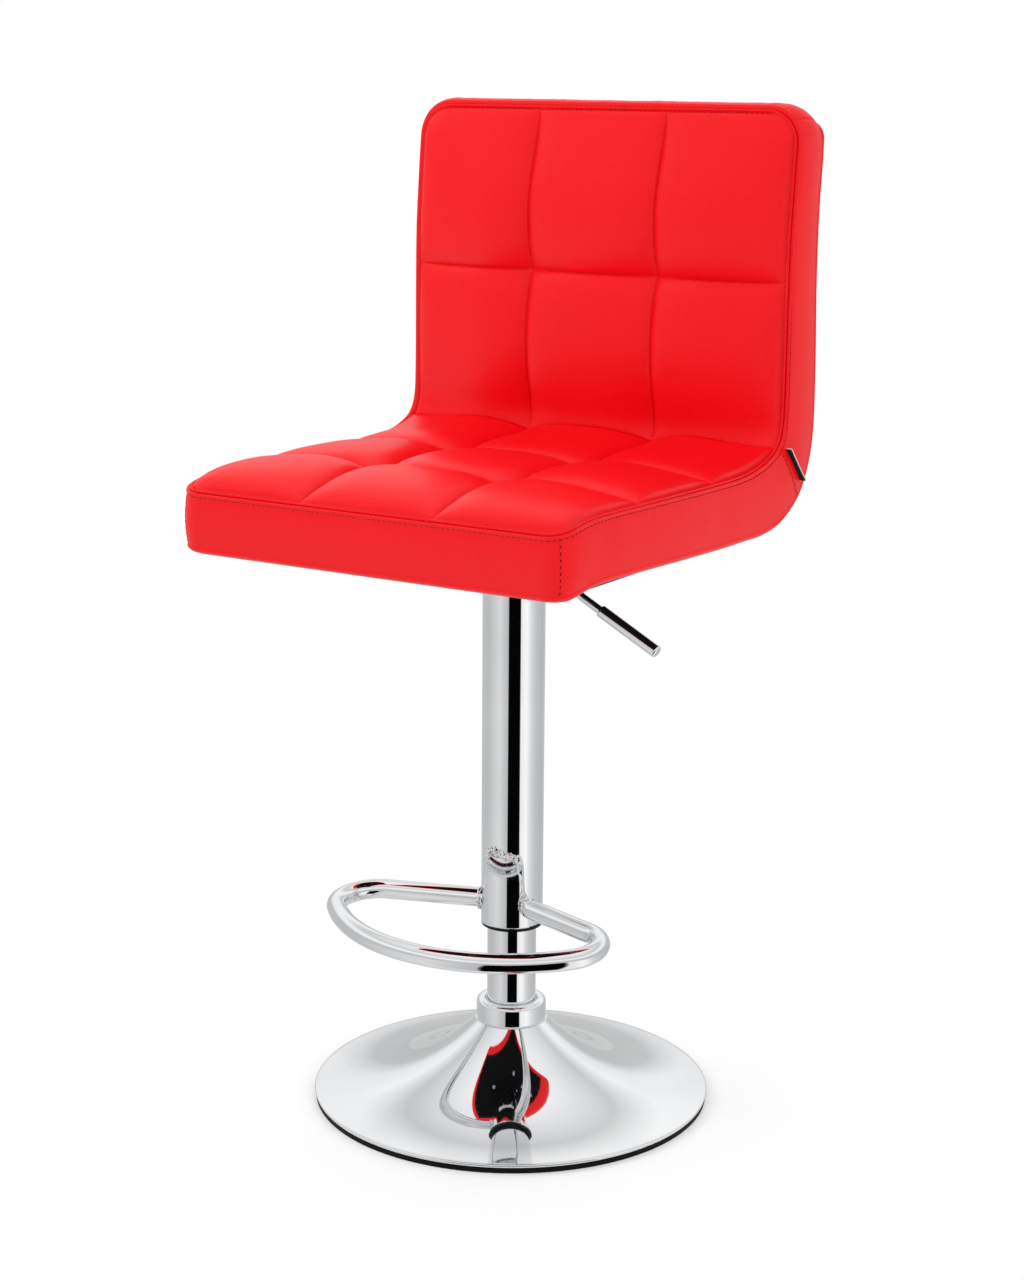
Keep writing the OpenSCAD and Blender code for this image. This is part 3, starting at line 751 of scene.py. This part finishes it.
def outer_points(x, s, lift=0.0):
    yz = side.read(side.outer, s)
    tangent = side.tangent(side.outer, s)
    normal = np.stack((tangent[..., 1], -tangent[..., 0]), axis=-1)
    place = yz + normal * (lift[..., None] if isinstance(lift, np.ndarray) else lift)
    return np.concatenate((x[..., None], place), axis=-1)


def rear_half(s, inset):
    """Half of the width at s of the outer line, drawn inset mm inside the edge."""
    return half_width(np.clip(s, inset, side.length - inset), inset, REAR_ROUND)


def rear_places(rows, inset, shares):
    """x and s of a grid on the outer line: a row of points at each s, at these shares of the half width."""
    return rear_half(rows, inset)[:, None] * shares, np.repeat(rows[:, None], len(shares), 1)


def padded_skin(name, grid, replaces, flip=False, thick=SKIN):
    """A skin of red leather with the padding behind it."""
    sheet_piece(name, grid, thick, "red_leather", replaces, flip)


def build_upholstery():
    """The quilted seat and back, the bands round them, the rear, the underside and the label."""
    for part, s_values in (("seat", SEAT_S), ("back", BACK_S)):
        padded_skin(part + "_quilt", quilt_grid(s_values), (part + "_cover", part + "_foam"),
                    thick=QUILT_SKIN)
    loop = seam_loop(LOOP_S)
    rows = band_rows(*loop)
    front_end, mitre, top = loop_cuts(loop)
    bands = []
    for name, a, b in (("seat_band", front_end, mitre), ("back_band", mitre, top)):
        part = rows[:, a:b + 1]
        bands += [("right_" + name, part, True), ("left_" + name, mirrored(part), False)]
    for name, part in (("front_band", rows[:, :front_end + 1]), ("top_band", rows[:, top:][:, ::-1])):
        whole = np.concatenate((mirrored(part)[:, ::-1], part[:, 1:]), axis=1)
        bands.append((name, whole, name == "front_band"))
    for name, grid, flip in bands:
        padded_skin(name + "_skin", grid, (name,), flip)
    build_outer_skin()
    build_tag()
    return loop


def build_outer_skin():
    """The red skin of the rear, and the red hem round the black cloth under the seat."""
    cloth_x, cloth_y0, cloth_y1 = build_dust_cloth()
    build_staples(cloth_x, cloth_y0, cloth_y1)
    s_cloth = np.interp(cloth_y1, side.outer[:350, 0], side.s[:350])
    s_front = np.interp(cloth_y0, side.outer[:350, 0], side.s[:350])
    s_rear = [s_cloth] + [v for v in LOOP_S if v > s_cloth + 1]
    shares = np.linspace(-1, 1, 61)
    corner = side.length - RIM - corner_rows(REAR_ROUND - RIM, 7)
    gx, gs = rear_places(merged_rows([s for s in s_rear if s < corner[-1]], corner), RIM, shares)
    fullness = (swell(gx / HALF_BACK, 4.0) * np.clip((gs - s_cloth) / 120, 0, 1)
                * np.clip((side.length - gs) / 90, 0, 1))
    padded_skin("rear_skin", outer_points(gx, gs, REAR_CROWN * fullness), ("rear_cover",), True)
    build_ply(s_front)
    # hem: a ring from the rim to 3 mm under the edge of the cloth
    front_rows, side_rows = (np.array([a] + [v for v in LOOP_S if a < v < b] + [b])
                             for a, b in ((RIM, s_front), (s_front, s_cloth)))
    gx, gs = rear_places(front_rows, RIM, shares)
    under_cloth = smooth((gx[:, -1:] - np.abs(gx)) / (rear_half(s_front, RIM) - cloth_x))
    under_cloth = under_cloth * smooth((gs - RIM) / (s_front - RIM))
    front = outer_points(gx, gs, (side.read(side.outer, gs)[..., 1] - CLOTH_Z) * under_cloth)
    across = np.linspace(0, 1, 9)
    gx = cloth_x + (rear_half(side_rows, RIM)[:, None] - cloth_x) * across
    gs = np.repeat(side_rows[:, None], len(across), 1)
    strip = outer_points(gx, gs, (side.read(side.outer, gs)[..., 1] - CLOTH_Z) * (1 - smooth(across))[None, :])
    points, faces, start = [], [], 0
    for grid, flip in ((front, True), (strip, True), (mirrored(strip), False)):
        rows, cols = grid.shape[:2]
        faces += skin_faces(rows, cols, start, flip)
        points += [grid.reshape(-1, 3), (grid - SKIN * grid_normals(grid, flip)).reshape(-1, 3)]
        start += 2 * rows * cols
    mesh_piece("hem_skin", np.vstack(points), faces, "red_leather", replaces=("cover_hem",))


def build_dust_cloth():
    """The black cloth stapled under the seat, a little slack between its staples."""
    low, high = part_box("underside_cover")
    wide, lap = 20.0, 4.0           # it reaches nearly to the edge, and laps over the hem
    half, y0, y1 = high.x / MM + wide, low.y / MM - wide * 0.7, high.y / MM
    x = np.linspace(-half - lap, half + lap, 97)[None, :] * np.ones((81, 1))
    y = np.linspace(y0 - lap, y1 + lap, 81)[:, None] * np.ones((1, 97))
    inside = np.minimum(half + lap - np.abs(x), np.minimum(y - y0 + lap, y1 + lap - y))
    along = np.where(half + lap - np.abs(x) < np.minimum(y - y0, y1 - y) + lap, y, x)
    gathers = np.cos(2 * math.pi * along / 42) * 0.5 * np.exp(-inside / 22) * smooth(inside / 4)
    sag = 1.6 * smooth(inside / 70)
    grid = np.stack((x, y, CLOTH_Z - 0.3 - sag - gathers - 0.3 * smooth(inside / 5)), axis=2)
    cloth = sheet_piece("dust_cloth", grid, 0.5, "dust_cloth", ("underside_cover",), flip=True)
    return half, y0, y1


def build_ply(s_front):
    """The moulded plywood shell, just inside the skin."""
    thick, gap, edge = 12.0, 2.0, 6.0
    rows = np.linspace(s_front - 18, side.length - edge - 4, 90)
    grid = outer_points(*rear_places(rows, edge, np.linspace(-1, 1, 25)), -gap)
    crease(sheet_piece("ply_core", grid, thick, "birch_ply", ("ply_shell",), flip=True), 40)


def build_tag():
    """The folded label sewn into the corner seam: a blank black face and a pale lining."""
    foot, tip = np.array((141.0, 642.0)), np.array((173.0, 609.0))
    rows, wide = np.linspace(0, 1, 14), 9.0
    along = tip - foot
    across = np.array((along[1], -along[0])) / np.linalg.norm(along)
    for name, shift, finish, old in (("tag_face", 0.9, "tag_fabric", ("seam_tag",)),
                                     ("tag_lining", -0.9, "tag_lining", ())):
        grid = []
        for t in rows:
            yz = foot + along * t
            row = []
            for u in np.linspace(0, 1, 6):
                curl = (shift * math.sin(math.pi * min(1, u * 1.15) * 0.5 + 0.25)
                        + 1.1 * u * u * math.sin(2.2 * t + 0.4))
                row.append((HALF_BACK - 1 + wide * u, *(yz + across * curl)))
            grid.append(row)
        sheet_piece(name, np.array(grid), 0.6, "tag_fabric", old, material=MATERIALS[finish])


# ---------------------------------------------------------------- stitches

def capsule(length, radius, sides=6):
    """Points and faces of a small thread stitch along x, bowed up a little in the middle."""
    xs = np.linspace(-1, 1, 5) * length / 2
    radii = radius * np.array([0.35, 0.9, 1.0, 0.9, 0.35])
    lift = radius * np.array([-0.6, 0.1, 0.35, 0.1, -0.6])
    turn = np.linspace(0, 2 * math.pi, sides, endpoint=False)
    points = [(x, r * math.cos(a), z + r * math.sin(a)) for x, r, z in zip(xs, radii, lift) for a in turn]
    faces = grid_faces(5, sides, wrap=True, flip=True)
    faces += [tuple(range(sides)), tuple(4 * sides + k for k in reversed(range(sides)))]
    return np.array(points), faces


def needle_hole(radius, sides=7):
    """A small dark dimple between two stitches: a shallow lens."""
    turn = np.linspace(0, 2 * math.pi, sides, endpoint=False)
    points = [(0, 0, radius * 0.25)] + [(radius * math.cos(a), radius * math.sin(a), 0) for a in turn]
    points.append((0, 0, -radius * 0.25))
    faces = [(0, 1 + k, 1 + (k + 1) % sides) for k in range(sides)]
    faces += [(sides + 1, 1 + (k + 1) % sides, 1 + k) for k in range(sides)]
    return np.array(points), faces


def copies(name, shape, faces, frames, slot, material):
    """One piece of many copies of a small shape; a frame is a place and what x, y and z become there."""
    points = [p + shape[:, :1] * a + shape[:, 1:2] * c + shape[:, 2:] * n for p, a, c, n in frames]
    all_faces = [tuple(i * len(shape) + k for k in face) for i in range(len(points)) for face in faces]
    return mesh_piece(name, np.vstack(points), all_faces, slot, material=material)


def stitch_row(name, path, normals, pitch, slot="red_leather", material=None, length=3.0, radius=0.42, holes=None):
    """A row of thread stitches along a path on the surface, and the needle holes between them."""
    total = lengths(path)
    count = max(2, int(total[-1] / pitch))
    at = (np.arange(count) + 0.5) * total[-1] / count
    place = between(at, total, path)
    along = between(at + 0.8, total, path) - between(at - 0.8, total, path)
    along /= np.linalg.norm(along, axis=1, keepdims=True) + 1e-9
    normal = between(at, total, normals)
    normal /= np.linalg.norm(normal, axis=1, keepdims=True)
    across = np.cross(normal, along)
    frames = []
    for p, a, c, n in zip(place, along, across, normal):
        turn, size = rng.uniform(-0.12, 0.12), rng.uniform(0.92, 1.06)
        ahead = a * math.cos(turn) + c * math.sin(turn)
        frames.append((p, size * ahead, c * math.cos(turn) - a * math.sin(turn), n))
    row = copies(name, *capsule(length, radius), frames, slot, material)
    if holes:
        frames = zip(place + along * pitch / 2, along * 1.5, across * 0.8, normal)
        copies(name + "_holes", *needle_hole(0.85), frames, slot, holes)
    return row


def build_staples(half, y0, y1):
    """The staples that hold the dust cloth, one every 42 mm round its edge."""
    inset, z = 4.0, CLOTH_Z - 1.1
    corners = [(inset - half, y0 + inset), (half - inset, y0 + inset), (half - inset, y1 - inset),
               (inset - half, y1 - inset), (inset - half, y0 + inset)]
    path = np.array([(x, y, z) for x, y in corners], float)
    down = np.repeat(((0.0, 0.0, -1.0),), len(path), axis=0)
    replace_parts(stitch_row("staples", path, down, 42.0, "zinc_plated", length=10.0, radius=0.5), "cover_staples")


def build_stitches(loop):
    """Two rows of stitches along the seam, one down each front corner and one along each mitre."""
    red_thread = thread()
    dark = plastic("needle_hole_shadow", srgb(158, 0, 8), (0.8, 0.95), shine=0.05)
    pitch = 5.4

    def both_sides(label, path, facing):
        stitch_row("right_" + label, path, facing, pitch, material=red_thread, holes=dark)
        stitch_row("left_" + label, mirrored(path), mirrored(facing), pitch, material=red_thread, holes=dark)

    x, s, out_x, out_s = loop
    keep = np.concatenate(([True], np.hypot(np.diff(x), np.diff(s)) > 0.5))
    x, s, out_x, out_s = (v[keep] for v in (x, s, out_x, out_s))
    # on the quilted side
    sx, ss = x - MARGIN * out_x, s - MARGIN * out_s
    ss = np.clip(ss, MARGIN, side.length - MARGIN)
    inner = quilt_points(sx, ss, 0.15)
    tangent = side.tangent(side.inner, ss)
    normal = np.stack((np.zeros(len(ss)), -tangent[:, 1], tangent[:, 0]), axis=1)
    # on the band side
    length = np.linalg.norm(side.read(side.outer, s) - side.read(side.inner, s), axis=1)
    share = MARGIN / (np.median(length) - RIM)
    outer = band_rows(x, s, out_x, out_s, samples=[share])[0]
    t_in = side.tangent(side.inner, s)
    out = np.concatenate((out_x[:, None], out_s[:, None] * t_in), axis=1)
    both_sides("top_stitches", inner, normal)
    both_sides("band_stitches", outer + 0.15 * out, out)
    # down the corner seam at the front and the mitre at the crook
    front_end, mitre, _ = loop_cuts((x, s, out_x, out_s))
    lines = band_rows(x, s, out_x, out_s, samples=np.linspace(0.1, 0.97, 24))
    for label, at in (("corner_stitches", front_end + 1), ("mitre_stitches", mitre + 1)):
        facing = np.repeat(out[at][None], len(lines), axis=0)
        both_sides(label, lines[:, at] + 0.1 * facing, facing)


# ---------------------------------------------------------------- chrome

def box_mm(node):
    low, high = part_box(node)
    return np.array(low) / MM, np.array(high) / MM


def arc(centre, radius, a0, a1, steps):
    """Points of a plane arc between two angles in degrees."""
    a = np.radians(np.linspace(a0, a1, steps))
    return np.asarray(centre) + radius * np.stack((np.cos(a), np.sin(a)), axis=1)


def build_base():
    """The trumpet base as one smooth turned shell, on the CAD shell's sizes."""
    low, high = box_mm("base_disc")
    rim_r, rim_bottom, top = high[0], low[2], high[2]
    neck_r, rim_z, wall, hole = 35.0, rim_bottom + 3, 1.6, 31.0

    def height(r):
        p = np.clip(1 - (r - neck_r) / (rim_r - neck_r), 0, 1)
        return rim_z + (top - rim_z) * (0.12 * p + 0.88 * p ** 2.6)

    radii = neck_r + (rim_r - neck_r) * np.linspace(0, 1, 90) ** 1.3
    upper = np.stack((radii, height(radii)), axis=1)
    corner = 1.2
    edge = arc((rim_r - corner, rim_z - corner), corner, 80, -60, 9)
    slope = np.gradient(height(radii), radii)
    drop = wall * np.sqrt(1 + slope ** 2)
    under = [(r, max(h - d, rim_bottom + 0.3)) for (r, h), d in zip(upper, drop) if r < rim_r - 3]
    foot = [(rim_r - 0.8, rim_bottom), (rim_r - wall, rim_bottom), (rim_r - wall, rim_z - wall)]
    profile = np.vstack(([(hole, top)], upper[:-1], edge, foot, under[::-1], [(hole, under[0][1])]))
    lathe("base_shell", profile, 256, ("base_disc",))


def build_collar():
    """The chrome collar over the base's neck, with a rounded shoulder and a lip round the standpipe."""
    low, high = box_mm("base_collar")
    bottom, top, r = low[2], high[2], high[0]
    edge, lip_r, hole = 4.2, 1.0, 24.2
    foot = [(31.5, bottom), (r - 0.5, bottom), (r - 0.05, bottom + 0.5), (r, bottom + 3)]
    shoulder = arc((r - edge, top - edge), edge, 4, 86, 9)
    rolled = arc((hole + 2.4, top - lip_r), lip_r, 90, 170, 7)
    inside = [(hole + 1.2, top - 3), (hole, top - 4.5), (hole, top - 6), (31.5, top - 8)]
    profile = np.vstack((foot, shoulder, rolled, inside))
    lathe("collar_ring", profile, 192, ("base_collar",))


SLEEVE_R, SADDLE_R = 30.0, 32.0
# Outline of the saddle plate on the sleeve: height, left edge and right edge in degrees from the front
SADDLE_ROWS = [(179, -38, 66), (192, -38, 64), (203, -38, 61), (209, -34, 58), (215, -28.5, 54),
               (224, -21.6, 49.6), (235, -17.9, 45.8), (244, -15.8, 41.8), (250, -13, 39.5)]
# The weld bead over the plate's top: degrees from the front, and height
WELD_LINE = [(-16, 243), (-13.8, 249), (-11, 254), (-7, 256.4), (2, 254.6), (12, 252.9), (24, 251.2), (33, 249.4),
             (39, 246.4), (43, 240.5)]


def lumps(points, size, amount):
    """Smooth random bumps about size mm across, the same at the same place."""
    waves = np.random.RandomState(11)
    directions = waves.normal(size=(9, 3))
    phases = waves.uniform(0, 2 * math.pi, 9)
    return amount * np.sin(points @ directions.T * 2 * math.pi / (size * 1.7) + phases).sum(axis=1) / 3


def on_sleeve(azimuth, z, radius):
    turn = np.radians(azimuth)
    return np.stack((radius * np.sin(turn), -radius * np.cos(turn), z + 0 * turn), axis=-1)


def swept_tube(name, path, radii, up, roughness=0.0, sides=32, replaces=(), body="carriage", slot="chrome"):
    """A round tube along a path; roughness lifts weld bumps along it, in mm at each path point."""
    ahead = np.gradient(path, axis=0)
    ahead /= np.linalg.norm(ahead, axis=1, keepdims=True)
    side_way = np.cross(ahead, up)
    side_way /= np.linalg.norm(side_way, axis=1, keepdims=True)
    top_way = np.cross(side_way, ahead)
    turn = np.linspace(0, 2 * math.pi, sides, endpoint=False)
    ring = (np.cos(turn)[None, :, None] * side_way[:, None] + np.sin(turn)[None, :, None] * top_way[:, None])
    radii = np.broadcast_to(radii, (len(path),))[:, None, None]
    points = (path[:, None] + radii * ring).reshape(-1, 3)
    bumps = lumps(points, 3.4, 1.0) + 0.5 * lumps(points[:, ::-1], 1.7, 1.0)
    amount = np.repeat(np.broadcast_to(roughness, (len(path),)), sides)
    points = points + (amount * bumps)[:, None] * ring.reshape(-1, 3)
    faces = grid_faces(len(path), sides, wrap=True)
    last = (len(path) - 1) * sides
    faces += [tuple(reversed(range(sides))), tuple(last + k for k in range(sides))]
    mesh_piece(name, points, faces, slot, body, replaces)


def build_saddle():
    """The plate that holds the footrest: it hugs the sleeve, with concave flanks and a rough weld over its top."""
    z, left, right = spline(SADDLE_ROWS, 12).T
    rim = np.array([0, 0.15, 0.35, 0.6, 0.95, 1.4, 2.0])
    middle = (left + right) / 2
    half = (right - left) / 2 * math.radians(1) * SADDLE_R
    flat = np.linspace(-1, 1, 50)[:, None] * (half - 2.0)
    across = np.vstack((-half + rim[:-1, None], flat, half - rim[-2::-1, None])).T
    depth = np.clip((half[:, None] - np.abs(across)) / 1.4, 0, 1)
    radius = SLEEVE_R + 0.1 + (SADDLE_R - SLEEVE_R - 0.1) * np.sqrt(1 - (1 - depth) ** 2)
    azimuth = middle[:, None] + np.degrees(across / SADDLE_R)
    outer = on_sleeve(azimuth, z[:, None], radius)
    inner = on_sleeve(azimuth, z[:, None], np.full_like(radius, SLEEVE_R + 0.02))
    points = np.vstack((outer.reshape(-1, 3), inner.reshape(-1, 3)))
    mesh_piece("saddle_plate", points, skin_faces(*radius.shape), "chrome", replaces=("footrest_saddle",))
    azimuth, z = spline(WELD_LINE, 24).T
    path = on_sleeve(azimuth, z, SADDLE_R - 0.7)
    steps = np.arange(len(path))
    thick = 3.0 * np.clip(np.minimum(steps, len(path) - 1 - steps) / 36, 0.35, 1)
    swept_tube("saddle_weld", path, thick, (0.3, -0.9, 0.1), 0.85, 24)


def build_footrest():
    """The footrest tube in one sweep: a bow, two corners and two arms, with weld bumps where the arms end.

    The plan is the CAD loop's, up to 3 mm narrower on each side. The right arm ends in a thinner neck.
    """
    start, sweep = np.array((25.2, -19.8)), math.radians(15.9)
    forward = np.array((math.cos(sweep), -math.sin(sweep)))
    bow_centre, bow_r = np.array((0, 17.5)), 184.3
    corner, corner_r, arm_length = np.array((106.4, -82.6)), 38.2, 95.3
    height, slope, tube_r = 202.6, math.radians(3), 9.5

    def arm(first, steps):
        t = np.linspace(first, arm_length, steps)
        return start + t[:, None] * forward

    turn = 43.26                    # where the corners meet the bow, in degrees below the x axis
    bend = arc(corner, corner_r, 74.1, -turn, 50)[1:]
    flip = np.array((-1, 1))
    bow = arc(bow_centre, bow_r, -turn, turn - 180, 90)[1:-1]
    knuckle = np.array(((22.0, -12.6), (26.5, -15.8), (31.2, -19.2), (34.8, -21.9)))
    flat = np.vstack((knuckle, arm(13.5, 60), bend, bow, (bend * flip)[::-1], (arm(-6, 70) * flip)[::-1][1:]))
    flat[:, 0] *= 1 - 0.02 * np.clip((np.abs(flat[:, 0]) - 40) / 60, 0, 1)
    path = np.stack((flat[:, 0], flat[:, 1] * math.cos(slope), height + flat[:, 1] * math.sin(slope)), axis=1)
    radii = np.full(len(path), tube_r)
    radii[:4] = (6.0, 6.6, 7.8, 9.2)
    bumps = np.zeros(len(path))
    bumps[:5] = (0.6, 0.8, 0.8, 0.45, 0.1)
    swept_tube("footrest_tube", path, radii, (0, 0, 1), bumps, 40, ("footrest_loop",))
    for name, size, centre, way in (
            ("right_arm_weld", 7.6, path[3] * 0.35 + path[2] * 0.65, path[3] - path[1]),
            ("left_arm_weld", 9.6, path[-4], path[-6] - path[-1])):
        way = way / np.linalg.norm(way)
        side_way = np.cross(way, (0, 0, 1))
        turn = np.linspace(0, 2 * math.pi, 90)[:, None]
        ring = centre + size * (np.cos(turn) * side_way + np.sin(turn) * np.array((0, 0, 1)))
        swept_tube(name, ring, 1.7, way, 0.6, 16)


def build_grip():
    """The lever's round grip: a turned tube with a rolled edge at the root and a flat, rounded end."""
    low, high = box_mm("lever_grip")
    r = (high[1] - low[1]) / 2
    droop = math.radians(27.5)
    along = np.array((math.cos(droop), 0, -math.sin(droop)))
    root = np.array((low[0] + r * math.sin(droop), 0, high[2] - r * math.cos(droop)))
    corner, end = 2.6, 64.5
    turn = np.radians(np.linspace(0, 84, 9))
    at = np.concatenate(((-4.6, -4.5, -4.1, -3.5), np.linspace(-2, end - corner, 12),
                         end - corner + corner * np.sin(turn[1:])))
    radii = np.concatenate(((r - 1.2, r - 0.7, r - 0.25, r), np.full(12, r),
                            r - corner + corner * np.cos(turn[1:])))
    swept_tube("grip_tube", root + at[:, None] * along, radii, (0, 1, 0), 0.0, 48, ("lever_grip",), "lever",
               "lever_grip_chrome")


# ---------------------------------------------------------------- studio

def build_studio():
    """A round paper floor, a sky, three soft lamps and the glowing grey cards that only the gloss sees: painted
    reflections for the chrome.
    """
    bm = bmesh.new()
    bmesh.ops.create_circle(bm, cap_ends=True, radius=14.0, segments=96)
    mesh = bpy.data.meshes.new("floor")
    bm.to_mesh(mesh)
    bm.free()
    mesh.materials.append(paper())
    new_object("floor", mesh)

    world = bpy.data.worlds.new("studio")
    bpy.context.scene.world = world
    world.use_nodes = True
    sky(world.node_tree)

    target = Vector((0, 0, 0.6))

    def lamp(name, place, size, power):
        data = bpy.data.lights.new(name, "AREA")
        data.shape = "RECTANGLE"
        data.size, data.size_y = size
        data.energy = power
        light = new_object(name, data)
        light.location = place
        light.rotation_euler = (target - Vector(place)).to_track_quat("-Z", "Y").to_euler()
        light.visible_glossy = False

    lamp("key_left", (-2.2, -1.2, 2.6), (1.6, 1.6), 30)
    lamp("top_back", (-0.6, 1.8, 2.8), (1.8, 1.0), 14)
    lamp("fill_right", (2.4, -0.7, 1.3), (1.4, 1.4), 8)

    painted_reflection_tent()
    bpy.context.scene.view_settings.view_transform = "Standard"


# Brightness of the studio round the stool by height over the horizon (0 to 1, as a sine)
SKY_GREYS = [(0.0, 0.58), (0.22, 0.64), (0.34, 0.97), (0.48, 1.06), (0.64, 0.70), (0.85, 0.93), (1.0, 1.08)]


def sky(tree):
    """A white studio for the camera; the gloss and the light see it greyer towards the horizon."""
    background = tree.nodes["Background"]
    where = tree.nodes.new("ShaderNodeTexCoord")
    axes = tree.nodes.new("ShaderNodeSeparateXYZ")
    tree.links.new(where.outputs["Generated"], axes.inputs["Vector"])
    ramp = tree.nodes.new("ShaderNodeValToRGB")
    fill_ramp(ramp, [(at, (grey, grey, grey)) for at, grey in SKY_GREYS])
    tree.links.new(axes.outputs["Z"], ramp.inputs["Fac"])
    path = tree.nodes.new("ShaderNodeLightPath")
    mix = tree.nodes.new("ShaderNodeMix")
    mix.data_type = "RGBA"
    tree.links.new(path.outputs["Is Camera Ray"], mix.inputs["Factor"])
    tree.links.new(ramp.outputs["Color"], mix.inputs[6])
    mix.inputs[7].default_value = (1, 1, 1, 1)
    tree.links.new(mix.outputs[2], background.inputs["Color"])
    background.inputs["Strength"].default_value = 1.0


# Brightness of the painted reflection cards by direction, in degrees from the camera's side, to the right
PAINTED_REFLECTION_GREYS = [(-180, 205), (-150, 190), (-100, 190), (-51, 218), (-30, 196), (-19, 186), (-18, 4), (25, 4),
              (26, 236), (48, 252), (69, 216), (89, 196), (125, 184), (150, 190), (180, 205)]


def painted_reflection_tent():
    """Glowing grey cards laid on the floor round the stool, dark on the camera's side; only the gloss sees them, so
    they are painted reflections in the chrome.
    """
    near, far, lift = 0.2, 12.0, 0.0015
    turns = np.radians(np.arange(0, 361, 5))
    points = [(r * math.cos(a), r * math.sin(a), lift) for r in (near, far) for a in turns]
    mesh = bpy.data.meshes.new("painted_reflection_tent")
    mesh.from_pydata(points, [], grid_faces(2, len(turns)))
    m = Nodes("painted_reflection_cards")
    wheel = m.add("ShaderNodeTexGradient", gradient_type="RADIAL")
    m.link(m.where, wheel.inputs["Vector"])
    white = 0.86                    # what the chrome gives back of the light it meets
    stops = [((deg + 180) / 360, [v / white for v in srgb(g, g, g)[:3]]) for deg, g in PAINTED_REFLECTION_GREYS]
    # the cards are no lamp: their emission in these greys paints the reflections, and the dark stripe, into the chrome
    glow = m.add("ShaderNodeEmission")
    m.link(m.ramp(wheel.outputs["Fac"], stops), glow.inputs["Color"])
    m.link(glow.outputs["Emission"], m.tree.nodes["Material Output"].inputs["Surface"])
    mesh.materials.append(m.material)
    painted_reflection_object = new_object("painted_reflection_tent", mesh)
    painted_reflection_object.rotation_euler = (0, 0, CAMERA_AZ - math.pi / 2)
    for ray in ("camera", "diffuse", "shadow", "transmission"):
        setattr(painted_reflection_object, "visible_" + ray, False)


# ---------------------------------------------------------------- everything

add_camera()
finish_nodes()
build_stitches(build_upholstery())
build_base()
build_collar()
build_saddle()
build_footrest()
build_grip()
build_studio()

bpy.context.view_layer.update()
